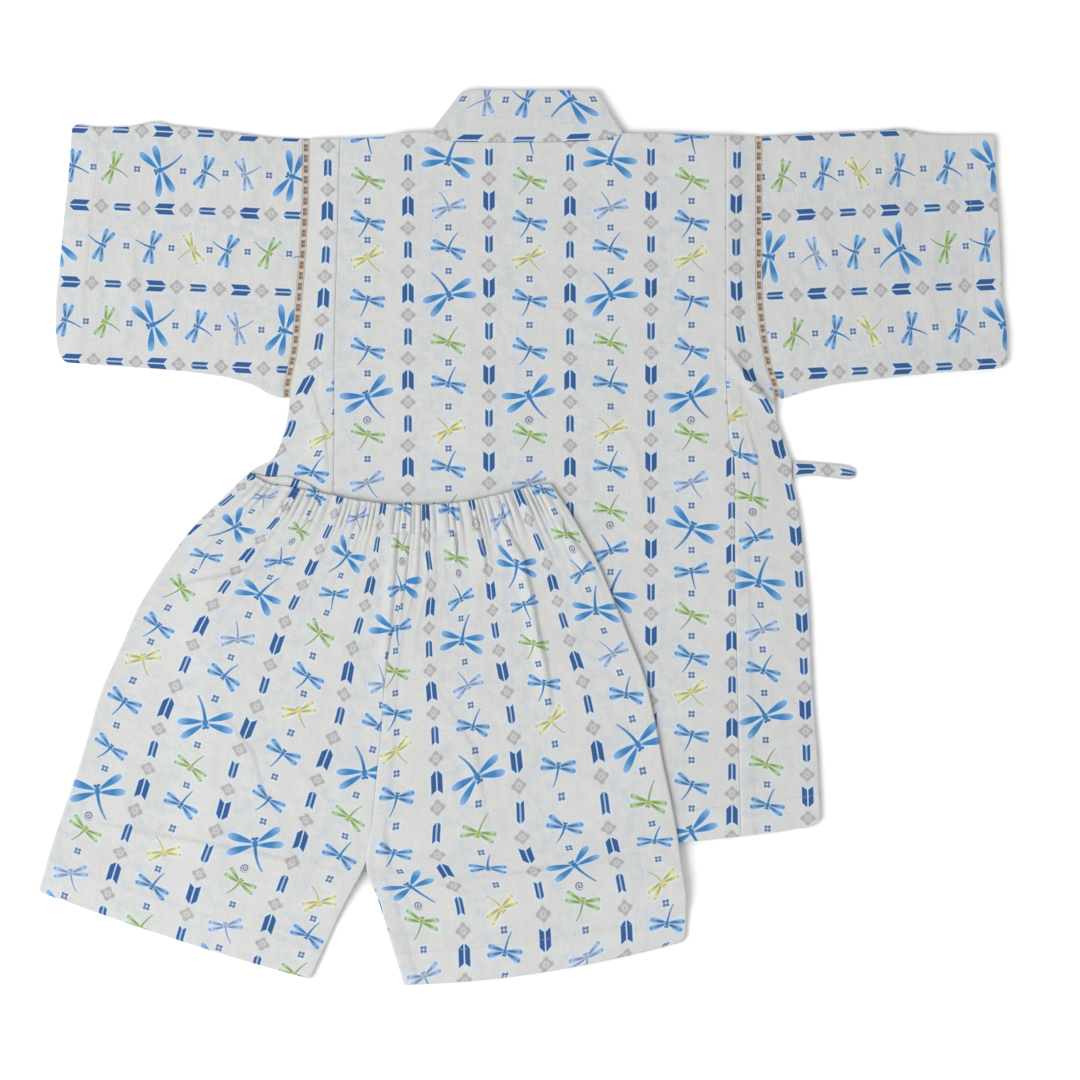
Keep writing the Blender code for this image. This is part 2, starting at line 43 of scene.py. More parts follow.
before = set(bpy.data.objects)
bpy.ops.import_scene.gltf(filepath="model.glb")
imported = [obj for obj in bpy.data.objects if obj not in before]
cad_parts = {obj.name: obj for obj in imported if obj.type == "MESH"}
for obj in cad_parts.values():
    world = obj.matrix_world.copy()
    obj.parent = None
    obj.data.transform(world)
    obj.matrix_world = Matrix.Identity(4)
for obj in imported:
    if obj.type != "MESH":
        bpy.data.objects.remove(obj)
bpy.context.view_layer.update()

MM = 0.001
BODY_NAME = "root"

# How the layers lie
LAYER_GAP = 0.3
SEAM_LINE = 0.08
CLOTH = 1.0
PITCH = CLOTH + LAYER_GAP
SHORTS_CLEARANCE = 0.6
FOLD_RADIUS = 0.5 * PITCH
FOLD_CENTRE = FOLD_RADIUS + 0.5 * CLOTH
FOLD_TURN = np.radians((60.0, 30.0, 0.0, -30.0, -60.0))
FOLD_INSET = 1.8
FOLD_FADE = 9.0
LIP_REACH = 0.6
FINE_CELL = 1.2
SEAM_TURNING = 9.0
STITCH_INSET = 1.5
NO_STITCH = 9.0
TURN = {"left": -1.0, "right": 1.0}

# Where the two garments lie
JACKET = (4.2, 241.2)
SHORTS = (-66.6, 21.0)

# Jacket
SHOULDER_DOWN = 1.2
SIDE_HEM_DOWN = 409.2
NECK_BLEND = 40.0
HEM_BLEND = 60.0
BAND_WIDTH = 26.4
BAND_SQUARE_DOWN = 70.0
FRONT_RAMP_START = 90.0
FRONT_RAMP_END = 130.0
SHOULDER_FOLD_DOWN = 1.5
UNDERARM_DOWN = 157.0
NECK_LEFT = -58.2
NECK_RIGHT = 58.8
TIE_LENGTH = 38.0
TIE_WIDTH = 10.0
TIE_DOWN = 200.0
TIE_STITCH = 1.2
SLEEVE_LENGTH = 145.0
COLLAR_NECK_STEPS = 60
COLLAR_CORNER = 1.2
RAIL_WIDTH = 0.85

# Shorts
LEG_WIDTH = 160.0
LEG_LENGTH = 270.0
LEG_GATHER_SHARE = 0.6
WAIST_DEPTH = 20.0
WAIST_STEPS = 360
WAIST_STITCH = 3.0
BACK_WAIST_SHOW = 6.0
BACK_WAIST_START = -98.0
BACK_WAIST_END = -52.0
OVER_EDGE = 12.0
OVER_SLOPE = 35.0
OVER_HEM = 20.0
OVER_HEM_SLOPE = 30.0
WAIST_EASE_POWER = 4
HEM_BOW_POWER = 3
LEG_HEM_BOW = {"left": 2.5, "right": 5.4}
LEG_CORNER = {"left": 2.5, "right": 6.0}
CUFF_CORNER = 4.0

# down, left_side, left_seam, right_seam, right_side
BODY = (
    (1.2, -132.3, -114.0, 117.6, 135.3),
    (43.8, -132.9, -115.2, 117.6, 135.3),
    (76.8, -134.9, -116.1, 117.6, 135.3),
    (104.4, -137.1, -117.0, 117.6, 136.3),
    (124.8, -138.8, -117.3, 117.6, 138.9),
    (138.6, -141.3, -117.6, 117.6, 141.6),
    (149.4, -143.6, -117.6, 117.8, 144.9),
    (160.2, -144.3, -117.6, 118.4, 147.0),
    (171.6, -146.1, -117.6, 118.9, 148.2),
    (181.0, -148.6, -117.6, 119.4, 151.8),
    (190.2, -152.1, -117.6, 122.1, 154.8),
    (195.6, -156.6, -117.7, 122.6, 156.9),
    (201.0, -167.4, -117.8, 122.8, 157.2),
    (207.0, -168.6, -117.9, 123.0, 157.2),
    (223.2, -170.4, -118.2, 123.0, 160.8),
    (246.6, -172.2, -118.8, 123.0, 163.8),
    (279.0, -174.0, -120.0, 123.5, 166.8),
    (327.6, -175.2, -121.8, 124.5, 169.2),
    (376.2, -175.8, -123.6, 125.7, 172.8),
    (409.2, -175.2, -124.8, 126.6, 174.3),
)

# Shoulder and neck line: across, down
TOP_EDGE = (
    (-140.0, 1.5),
    (-99.6, 1.2),
    (-85.2, 0.0),
    (-77.4, -1.8),
    (-64.8, -2.4),
    (-58.2, -1.8),
    (-51.6, 1.8),
    (-38.4, 3.6),
    (16.8, 3.4),
    (45.0, 1.8),
    (58.8, -1.8),
    (73.8, -1.8),
    (88.2, -1.2),
    (140.0, 0.0),
)

# Hem of the jacket: across, down
HEM_EDGE = (
    (-176.0, 409.2),
    (-172.0, 412.5),
    (-159.0, 415.8),
    (-122.4, 420.6),
    (-90.6, 423.6),
    (0.0, 424.8),
    (90.6, 423.6),
    (122.4, 420.6),
    (159.0, 415.8),
    (172.0, 412.5),
    (174.5, 409.2),
)

# Seam between the outer front and its collar band: down, across
FRONT_SEAM = (
    (-1.8, -58.2),
    (60.0, -34.0),
    (120.0, -10.7),
    (180.0, 12.7),
    (240.0, 30.0),
    (300.0, 38.0),
    (424.0, 42.0),
)

# Top edge of the collar band above the back neck: across, down
COLLAR_TOP = (
    (-41.4, -26.4),
    (-35.0, -27.8),
    (9.6, -27.4),
    (37.2, -27.4),
    (42.0, -25.2),
)

# Cuff edge of each sleeve: part of the way down the cuff, reach
CUFF = {
    "left": (
        (0.0, 274.8),
        (0.18, 276.6),
        (0.39, 279.6),
        (0.58, 282.0),
        (0.77, 284.4),
        (0.93, 283.8),
        (1.0, 280.8),
    ),
    "right": (
        (0.0, 279.0),
        (0.2, 279.6),
        (0.31, 280.8),
        (0.53, 282.6),
        (0.69, 283.4),
        (0.86, 286.2),
        (0.96, 286.2),
        (1.0, 283.8),
    ),
}

# Fold along the top of each sleeve: reach, down
SLEEVE_TOP = {
    "left": (
        (134.4, 1.5),
        (156.6, 0.6),
        (193.8, -4.2),
        (214.8, -6.6),
        (225.0, -8.6),
        (240.6, -5.8),
        (257.4, -5.4),
        (276.0, -7.2),
    ),
    "right": ((137.4, 0.0), (173.4, -1.8), (213.0, -3.6), (221.0, -4.4), (238.8, -1.8), (280.0, -1.2)),
}

# Underarm seam of each sleeve: reach, down
SLEEVE_BOTTOM = {
    "left": (
        (149.0, 157.0),
        (153.5, 156.0),
        (166.2, 149.4),
        (180.0, 145.2),
        (193.8, 142.8),
        (221.4, 139.8),
        (249.0, 138.0),
        (281.0, 135.6),
    ),
    "right": ((151.0, 157.6), (165.6, 153.0), (180.6, 149.4), (211.2, 145.5), (241.8, 142.2), (284.0, 139.2)),
}

# Free end of the tie: part of the length, then its top and bottom as parts of the width
TIE = (
    (0.0, -0.5, 0.5),
    (0.3, -0.44, 0.38),
    (0.6, -0.35, 0.49),
    (0.85, -0.23, 0.6),
    (0.96, -0.06, 0.54),
    (1.0, 0.12, 0.38),
)

# Top edge of the waistband: across, down
WAIST_TOP = (
    (-97.8, -18.0),
    (-85.8, -11.4),
    (-73.8, -9.6),
    (-55.2, -6.0),
    (-34.2, -1.8),
    (-6.6, 1.2),
    (7.8, 1.2),
    (34.8, -1.2),
    (54.0, -5.4),
    (76.2, -10.6),
    (83.4, -11.4),
)

# Seam between the waistband and the legs: across, down
WAIST_SEAM = (
    (-110.4, -6.0),
    (-90.0, 3.0),
    (-67.2, 9.6),
    (-37.2, 15.6),
    (-0.6, 18.6),
    (22.8, 18.0),
    (46.2, 14.4),
    (69.6, 9.6),
    (93.0, 2.4),
)

# Legs: section, outer_across, outer_down, inner_across, inner_down
LEG = {
    "left": (
        (0, -110.4, -6.0, -0.6, 18.6),
        (1, -133.2, 16.8, -4.2, 51.0),
        (2, -150.0, 39.6, -12.6, 82.2),
        (3, -163.8, 61.8, -16.5, 109.8),
        (4, -174.0, 84.6, -18.3, 136.8),
        (5, -186.3, 112.2, -21.3, 165.0),
        (6, -193.8, 136.8, -24.0, 191.4),
        (7, -200.4, 159.0, -27.6, 215.4),
        (8, -209.4, 184.8, -40.2, 240.0),
        (9, -217.2, 208.2, -51.0, 263.4),
        (10, -224.4, 233.4, -61.2, 285.6),
    ),
    "right": (
        (0, 93.0, 2.4, -0.6, 18.6),
        (1, 108.3, 29.4, -4.2, 51.0),
        (2, 119.4, 54.0, -12.6, 82.2),
        (3, 129.6, 78.6, -16.5, 109.8),
        (4, 139.5, 103.8, -18.3, 136.8),
        (5, 146.4, 132.6, -21.3, 165.0),
        (6, 151.2, 157.8, -24.0, 191.4),
        (7, 157.2, 186.0, -27.6, 215.4),
        (8, 161.7, 214.2, -19.8, 239.4),
        (9, 165.0, 239.4, -12.3, 264.6),
        (10, 164.4, 264.0, -4.8, 289.2),
    ),
}
LAST_SECTION = 10

# How far the steep side of a crease reaches
CREASE_LEAN = 1.9

# Creases of the shorts: height, width, then places along them from the middle of the waist
SHORTS_CREASES = (
    (2.2, 8.0, ((52.2, 9.6), (66.0, 32.4), (72.0, 60.0), (75.0, 78.0), (79.8, 96.6), (83.4, 121.2))),
    (1.4, 6.0, ((21.6, 7.8), (24.6, 18.0), (26.0, 34.0))),
    (1.6, 6.0, ((38.4, 12.6), (42.0, 26.4), (44.0, 44.0))),
    (1.6, 7.0, ((87.6, 12.6), (100.0, 28.0), (116.4, 51.0))),
    (1.8, 9.0, ((-157.2, 58.2), (-139.8, 49.8), (-98.4, 41.4), (-84.6, 31.8), (-64.2, 11.4))),
    (1.1, 11.0, ((-190.0, 193.2), (-123.0, 205.2), (-82.2, 213.0), (-50.0, 219.0))),
    (1.1, 11.0, ((-16.8, 235.8), (21.6, 229.8), (67.2, 222.0), (113.4, 216.0), (152.0, 210.0))),
    (1.7, 6.0, ((-9.5, 12.0), (-11.0, 40.0), (-13.5, 72.0), (-17.0, 108.0))),
    (1.1, 5.0, ((-3.0, 22.0), (-5.0, 46.0), (-8.0, 74.0))),
    (1.2, 6.0, ((-16.8, 198.6), (-14.4, 221.4))),
    (0.8, 14.0, ((-120.0, 120.0), (-96.0, 150.0), (-88.0, 182.0))),
    (0.8, 12.0, ((20.0, 120.0), (38.0, 150.0), (44.0, 190.0))),
)

# Creases of the jacket: height, width, then places along them from the centre back
JACKET_CREASES = (
    (2.4, 8.0, ((118.6, 128.6), (126.6, 140.4), (134.4, 149.4), (141.0, 157.2), (147.0, 162.0))),
    (0.8, 10.0, ((128.0, 168.0), (136.0, 196.0), (138.0, 230.0))),
    (0.6, 14.0, ((10.0, 60.0), (-20.0, 90.0), (-58.0, 104.0))),
    (0.6, 14.0, ((40.0, 150.0), (64.0, 190.0), (72.0, 240.0))),
    (0.7, 12.0, ((-132.0, 150.0), (-124.0, 178.0), (-122.0, 206.0))),
)
SLEEVE_CREASES = (
    (0.9, 9.0, ((-222.0, -4.0), (-220.0, 24.0), (-214.0, 50.0))),
    (0.7, 10.0, ((-160.0, 20.0), (-176.0, 60.0), (-186.0, 96.0))),
    (0.7, 10.0, ((-240.0, 60.0), (-236.0, 100.0), (-244.0, 128.0))),
    (0.9, 9.0, ((218.0, -3.0), (216.0, 22.0), (208.0, 46.0))),
    (0.7, 10.0, ((160.0, 24.0), (180.0, 66.0), (192.0, 104.0))),
    (0.7, 10.0, ((246.0, 50.0), (240.0, 96.0), (250.0, 130.0))),
)

# Low swells that all layers share: length, bearing in degrees, shift, share of the height
SWELLS = (
    (118.0, 20.0, 0.4, 0.34),
    (83.0, 75.0, 2.1, 0.24),
    (61.0, 140.0, 4.0, 0.18),
    (47.0, 48.0, 1.2, 0.13),
    (38.0, 110.0, 5.1, 0.11),
)

# The print, in units of PRINT_MM: the pitch of its columns, its repeat, and that of its arrows
COLUMN_PITCH = 81.0
REPEAT = 435.0
ARROW_REPEAT = 87.0
ARROW_STEP = 21.75
UP_ARROW_SHIFT = 74.8
DOWN_ARROW_SHIFT = 69.0
PRINT_MM = 0.6
PITCH_MM = COLUMN_PITCH * PRINT_MM

# Dragonflies of the two kinds of column: place, colour, tilt, whether large
UP_FLIGHT = (
    (5.0, "green", 25.0, False),
    (47.0, "blue", 20.0, False),
    (83.0, "yellow", -28.0, False),
    (125.0, "blue", 15.0, False),
    (175.0, "blue", 22.0, False),
    (222.0, "blue", -25.0, True),
    (260.0, "green", 20.0, False),
    (308.0, "violet", -22.0, False),
    (353.0, "blue", 25.0, True),
    (397.0, "blue", -8.0, False),
)
DOWN_FLIGHT = (
    (32.0, "violet", -20.0, False),
    (73.0, "blue", 20.0, False),
    (119.0, "blue", -25.0, True),
    (167.0, "green", 20.0, False),
    (208.0, "blue", 15.0, False),
    (255.0, "yellow", -30.0, False),
    (292.0, "blue", 15.0, False),
    (335.0, "green", 18.0, False),
    (375.0, "blue", -20.0, False),
    (419.0, "blue", 15.0, True),
)
UP_SWIRL = 245.0
DOWN_SWIRL = 350.0
SMALL_SIZE = 0.667

# Wings of a dragonfly: where they start from its middle, their angle in degrees, their length
FRONT_WING = (1.6, 25.0, 26.5)
REAR_WING = (-0.9, -7.0, 25.5)

# How places and tilts are packed into the parts of a colour: the lowest, and the span
PLACE_CODE = (-100.0, 700.0)
TILT_CODE = (-60.0, 300.0)

# Small and large arrow feathers: half their width, half their length, cut corner, notch
SMALL_ARROW = (3.8, 9.0, 2.4, 2.5)
LARGE_ARROW = (5.8, 10.3, 4.0, 4.0)

# Four-petalled diamonds: how far each pair of petals reaches across and down, the reach of the middle,
# and the radii of its hole and its eye
PETALS = ((7.6, 3.7), (3.7, 7.2))
LOZENGE_REACH = 7.0
HOLE_RADIUS = 3.4
EYE_RADIUS = 1.2

# How the print lies on each leg: section, place
LEG_PRINT_OUTER = {
    "left": ((0, -1.1), (2, -0.88), (10, -0.82)),
    "right": ((0, 2.75), (2, 2.8), (4, 2.79), (6, 2.76), (8, 2.78), (10, 2.72)),
}
LEG_PRINT_INNER = {
    "left": ((0, 2.65), (2, 2.5), (4, 2.54), (6, 2.78), (7, 2.82), (8, 2.8), (10, 2.7)),
    "right": ((0, -0.3), (2, -0.58), (4, -0.7), (6, -0.8), (7, -0.83), (8, -0.97), (10, -0.76)),
}
LEG_PRINT_DOWN = {
    "left": (323.0, 376.0, 429.0, 469.0, 512.0, 556.0, 600.0, 642.0, 684.0, 728.0, 771.0),
    "right": (313.0, 358.0, 407.0, 452.0, 496.0, 540.0, 578.0, 616.0, 673.0, 712.0, 750.0),
}
WAIST_PRINT_TOP = 288.0

# Where the middle column of each side panel lies: down, across
SIDE_PRINT = {
    "left": (
        (14.4, -121.2),
        (55.8, -121.8),
        (80.4, -123.0),
        (119.4, -126.0),
        (143.4, -131.4),
        (154.2, -136.8),
        (165.0, -141.0),
        (175.2, -143.4),
        (196.2, -153.6),
        (420.0, -160.0),
    ),
    "right": (
        (12.0, 124.2),
        (54.6, 123.6),
        (106.2, 124.8),
        (132.6, 129.0),
        (144.6, 132.0),
        (165.6, 144.0),
        (187.8, 149.4),
        (214.8, 156.6),
        (239.4, 159.6),
        (264.0, 161.4),
        (292.2, 163.2),
        (398.4, 166.8),
    ),
}

# How the print lies on each sleeve: column at the centre back, its change across and down, then the place
# along a column, its change across, and the part of the way down that counts as across
SLEEVE_PRINT = {
    "left": (-0.1735, -0.001056, 0.021533, -256.2, -1.7, 0.05),
    "right": (2.1656, -0.001089, -0.020938, -251.6, 1.712, -0.076),
}


def clamp(value, low=0.0, high=1.0):
    """The values, kept between low and high."""
    return np.clip(value, low, high)


def mix(a, b, part):
    """The values that lie part of the way from a to b."""
    return a + (b - a) * part


def ease(part):
    """A smooth step from 0 to 1."""
    part = clamp(part)
    return part * part * (3.0 - 2.0 * part)


def read(table, at, column=1):
    """A column of a table at places along its first column, on a smooth curve through the rows."""
    rows = np.asarray(table, dtype=float)
    place, value = rows[:, 0], rows[:, column]
    at = np.asarray(at, dtype=float)
    span = np.diff(place)
    slope = np.diff(value) / span
    middle = np.where(slope[1:] * slope[:-1] > 0.0, 0.5 * (slope[1:] + slope[:-1]), 0.0)
    tangent = np.concatenate((slope[:1], middle, slope[-1:]))
    row = np.clip(np.searchsorted(place, at, side="left") - 1, 0, len(span) - 1)
    part = clamp((at - place[row]) / span[row])
    square, cube = part**2, part**3
    return (
        value[row] * (2.0 * cube - 3.0 * square + 1.0)
        + value[row + 1] * (3.0 * square - 2.0 * cube)
        + tangent[row] * span[row] * (cube - 2.0 * square + part)
        + tangent[row + 1] * span[row] * (cube - square)
    )


def stations(start, end, cell):
    """Places from start to end about a cell apart, with a few more beside each end for its rounded lip."""
    count = max(2, math.ceil(abs(end - start) / cell))
    turn = 1.0 if end > start else -1.0
    lip = np.array((0.2, 0.6)) * turn
    regular = np.linspace(start, end, count + 1)[1:-1]
    regular = regular[(np.abs(regular - start) > 1.0) & (np.abs(regular - end) > 1.0)]
    return np.concatenate(([start], start + lip, regular, end - lip[::-1], [end]))


def lip(distance):
    """How much of its thickness the cloth has at a distance from an edge, which is rounded."""
    near = clamp(np.abs(distance) / LIP_REACH)
    return 0.5 + 0.5 * np.sqrt(clamp(1.0 - (1.0 - near) ** 2))


def corner_inset(distance, radius):
    """How far a rounded corner lies inside one edge, at a distance from the other."""
    near = clamp(1.0 - np.abs(distance) / radius)
    return radius * (1.0 - np.sqrt(clamp(1.0 - near**2)))


def both_ends(places):
    """The distance of each place from the nearer end of its run."""
    return np.minimum(np.abs(places - places[0]), np.abs(places - places[-1]))


def rim(rows, columns):
    """How much of its thickness the cloth has over a grid whose four edges are rounded."""
    return lip(both_ends(rows))[:, None] * lip(both_ends(columns))[None, :]


def random_part(index):
    """A number from 0 to 1 that looks random and is the same each time."""
    value = np.sin(np.asarray(index, dtype=float) * 12.9898 + 4.1) * 43758.5453
    return value - np.floor(value)


def swell(x, y):
    """The height of the low swells that all layers share, at places on the surface."""
    shifted_x = x + 12.0 * np.sin(y / 47.0 + 1.0)
    shifted_y = y + 10.0 * np.sin(x / 39.0 + 2.0)
    total = 0.0
    for length, bearing, shift, share in SWELLS:
        angle = math.radians(bearing)
        along = shifted_x * math.cos(angle) + shifted_y * math.sin(angle)
        total = total + share * (0.5 + 0.5 * np.sin(2.0 * math.pi * along / length + shift))
    return total * bpy.context.scene.jinbei_cloth.swell / MM


def crease_rise(creases, across, down):
    """The rise of the listed creases: gentle on the left or below, and steep on the other side."""
    rise = np.zeros(np.broadcast(across, down).shape)
    for height, width, points in creases:
        points = np.asarray(points)
        lengths = np.hypot(*(points[1:] - points[:-1]).T)
        total = lengths.sum()
        nearest = np.full(rise.shape, 1e9)
        travelled = np.zeros(rise.shape)
        beside = np.zeros(rise.shape)
        walked = 0.0
        for start, end, length in zip(points, points[1:], lengths):
            step = (end - start) / length
            along = clamp((across - start[0]) * step[0] + (down - start[1]) * step[1], 0.0, length)
            away = np.hypot(across - start[0] - along * step[0], down - start[1] - along * step[1])
            closer = away < nearest
            off = (down - start[1]) * step[0] - (across - start[0]) * step[1]
            beside = np.where(closer, off, beside)
            nearest = np.where(closer, away, nearest)
            travelled = np.where(closer, walked + along, travelled)
            walked += length
        taper = np.sqrt(np.sin(math.pi * clamp(travelled / total, 0.04, 0.96)))
        near = clamp(1.0 - nearest / np.where(beside > 0.0, width, CREASE_LEAN))
        rise = np.maximum(rise, height * taper * (0.6 * near**1.4 + 0.4 * ease(near)))
    return rise * bpy.context.scene.jinbei_cloth.crease


def placed(across, down, height, origin):
    """Places on a garment as points of the whole set, lifted by the shared swells."""
    across, down, height = np.broadcast_arrays(across, down, height)
    x, y = origin[0] + across, origin[1] - down
    return np.stack((x, y, height + swell(x, y)), axis=-1)


def grid_normals(points, ring):
    """The direction across the cloth at each point of a grid."""
    if ring:
        padded = np.concatenate((points[:, -1:], points, points[:, :1]), axis=1)
        along_row = np.gradient(padded, axis=1)[:, 1:-1]
    else:
        along_row = np.gradient(points, axis=1)
    down_column = np.gradient(points, axis=0)
    normal = np.cross(down_column, along_row)
    size = np.linalg.norm(normal, axis=-1, keepdims=True)
    return normal / np.maximum(size, 1e-9)


def grid_faces(index, ring):
    """Quads of a closed wall over a grid: both of its sides, and a rim round its edges."""
    count = int(index.max()) + 1
    corners = (index[:-1, :-1], index[1:, :-1], index[1:, 1:], index[:-1, 1:])
    upper = np.stack(corners, axis=-1).reshape(-1, 4)
    faces = [upper, upper[:, ::-1] + count]
    edges = [index[0], index[-1]]
    if not ring:
        edges += [index[:, 0], index[:, -1]]
    for edge in edges:
        here, there = edge[:-1], edge[1:]
        faces.append(np.stack((here, there, there + count, here + count), axis=-1))
    return np.concatenate(faces)


def cloth_piece(name, middle, lips, prints, stitches, material, ring=False):
    """A closed wall of cloth about a grid of points, with its print and stitch maps."""
    rows, columns = middle.shape[:2]
    thickness = bpy.context.scene.jinbei_cloth.thickness / MM
    offset = grid_normals(middle, ring) * (0.5 * thickness * lips)[..., None]
    points = np.concatenate(((middle + offset).reshape(-1, 3), (middle - offset).reshape(-1, 3)))
    index = np.arange(rows * columns).reshape(rows, columns)
    if ring:
        index = np.concatenate((index, index[:, :1]), axis=1)

    mesh = bpy.data.meshes.new(name)
    mesh.from_pydata((points * MM).tolist(), [], grid_faces(index, ring).tolist())
    shape = bmesh.new()
    shape.from_mesh(mesh)
    bmesh.ops.recalc_face_normals(shape, faces=shape.faces)
    shape.to_mesh(mesh)
    shape.free()
    corners = np.empty(len(mesh.loops), dtype=np.int32)
    mesh.loops.foreach_get("vertex_index", corners)
    source = corners % (rows * columns)
    for label, values in (("print", prints), ("stitch", stitches)):
        values = np.stack(np.broadcast_arrays(*values, np.zeros((rows, columns)))[:2], axis=-1)
        layer = mesh.uv_layers.new(name=label)
        layer.data.foreach_set("uv", values.reshape(-1, 2)[source].ravel())
    mesh.materials.append(material)
    mesh.shade_smooth()
    mesh.set_sharp_from_angle(angle=math.radians(60.0))
    piece = bpy.data.objects.new(name, mesh)
    bpy.context.collection.objects.link(piece)
    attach(piece, BODY_NAME)
    return piece


def body_down(across, down):
    """A down in the jacket's body, eased to the shoulder line above and to the hem below."""
    near_top = clamp(1.0 - (down - SHOULDER_DOWN) / NECK_BLEND)
    near_hem = clamp(1.0 - (SIDE_HEM_DOWN - down) / HEM_BLEND)
    from_top = near_top * (read(TOP_EDGE, across) - SHOULDER_DOWN)
    from_hem = near_hem * (read(HEM_EDGE, across) - SIDE_HEM_DOWN)
    return down + from_top + from_hem


def hem_rise(distance, width):
    """The step where a hem is turned under, and the slight pull along its stitches."""
    pull = np.exp(-(((distance - width + STITCH_INSET) / 0.9) ** 2))
    return 0.35 * ease((width + 0.8 - distance) / 1.6) - 0.25 * pull


def body_panel(name, edges, cell, height, seams, prints):
    """A panel of the body between two edges, with its hem and the turned cloth beside its seams."""
    hem = bpy.context.scene.jinbei_cloth.jacket_hem / MM
    rows = stations(SHOULDER_DOWN, SIDE_HEM_DOWN, cell)
    start, end = edges(rows)
    columns = stations(0.0, float(np.max(end - start)), cell)
    part = (columns / columns[-1])[None, :]
    across = mix(start[:, None], end[:, None], part)
    down = body_down(across, rows[:, None])
    from_hem = read(HEM_EDGE, across) - down
    rise = hem_rise(from_hem, hem)
    for edge, turned in seams:
        away = np.abs(across - (start if edge == "start" else end)[:, None])
        rise = rise + 0.4 * ease(away / 1.2) * ease((turned - away) / 1.4)
    middle = placed(across, down, height(across, down, part) + 0.5 * CLOTH + rise, JACKET)
    stitches = (from_hem - hem + STITCH_INSET, across)
    return cloth_piece(name, middle, rim(rows, columns), prints(across, down), stitches, cotton())


def plain_print(shift, start):
    """The print laid straight: columns across the jacket, and places down it."""
    return lambda across, down: (shift + across / PITCH_MM, (down / PRINT_MM + start) / COLUMN_PITCH)


def side_print(side):
    """The print of a side panel, whose middle column follows the panel as it widens."""

    def place(across, down):
        if side == "left":
            offset, start = 0.0, -44.0
        else:
            offset, start = 1.0, mix(-42.0, -26.0, ease((down - 138.0) / 24.0))
        column = offset + (across - read(SIDE_PRINT[side], down)) / PITCH_MM
        return column, (down / PRINT_MM + start) / COLUMN_PITCH

    return place


def sheet_of(node, area=None, sewn=()):
    """Hides the node that a finished piece stands in for."""
    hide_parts(node)
    extra = {} if area is None else {"area": area * MM * MM}
    if sewn:
        extra["with_pieces"] = list(sewn)


def front_edge(down):
    """Where the outer front ends beside its collar band."""
    return np.where(down <= SHOULDER_DOWN, NECK_LEFT, read(FRONT_SEAM, down)) - SEAM_LINE


def folded_run(length, cell, under_cell):
    """Insets from a fold, the heights and sides of the cloth's middle, and how much of the creases it
    takes, from the upper layer's free edge round the fold to the lower layer's.
    """
    over, under = stations(FOLD_CENTRE, length, cell), stations(FOLD_CENTRE, length, under_cell)
    inset = np.concatenate((over[::-1], FOLD_CENTRE - FOLD_RADIUS * np.cos(FOLD_TURN), under))
    side = np.concatenate((np.ones(len(over)), np.sin(FOLD_TURN), -np.ones(len(under))))
    upper = (side > 0.0)[None, :] * ease((inset - FOLD_INSET) / FOLD_FADE)[None, :]
    return inset, FOLD_CENTRE + FOLD_RADIUS * side, side, upper


def armhole_reach(side, down):
    """How far from the centre back the body's edge lies beside the armhole."""
    return np.abs(read(BODY, down, 1 if side == "left" else 4))


def gather_number(part):
    """How many gathers lie before a place round the front of the waist, unevenly spaced."""
    count = bpy.context.scene.jinbei_cloth.waist_gathers
    uneven = 0.42 * np.sin(2.0 * math.pi * 5.3 * part) + 0.3 * np.sin(2.0 * math.pi * 11.7 * part + 1.0)
    return count * part + uneven * ease(part / 0.05) * ease((1.0 - part) / 0.05)


def gather_rise(part, fade_from=0.0, along=0.0):
    """The rise of the gathers at places round the waist, each of its own height, fading down the leg."""
    number = gather_number(part)
    index = np.floor(number)
    own = 0.5 + 0.5 * random_part(index)
    reach = fade_from * (0.25 + random_part(index + 50.0) ** 3 * 1.4) if fade_from else 1.0
    fade = ease(1.0 - along / reach) if fade_from else 1.0
    wave = np.abs(np.sin(math.pi * number)) ** 0.9
    return bpy.context.scene.jinbei_cloth.gather / MM * own * wave * fade


def shorts_height(across, down):
    """The underside of the shorts, which lie on the jacket and slope down to the surface beyond it."""
    from_back = SHORTS[0] + across - JACKET[0]
    from_shoulder = JACKET[1] - SHORTS[1] + down
    seam, side = read(BODY, from_shoulder, 2), read(BODY, from_shoulder, 1)
    on_back = 2.0 * PITCH + CLOTH + SHORTS_CLEARANCE
    on_side = PITCH + CLOTH + SHORTS_CLEARANCE
    height = mix(on_back, on_side, clamp((seam + OVER_EDGE - from_back) / (seam + OVER_EDGE - side)))
    beyond_side = clamp((side - OVER_EDGE - from_back) / OVER_SLOPE)
    beyond_hem = clamp((from_shoulder - HEM_EDGE[5][1] - OVER_HEM) / OVER_HEM_SLOPE)
    return height * (1.0 - ease(beyond_side)) * (1.0 - ease(beyond_hem))


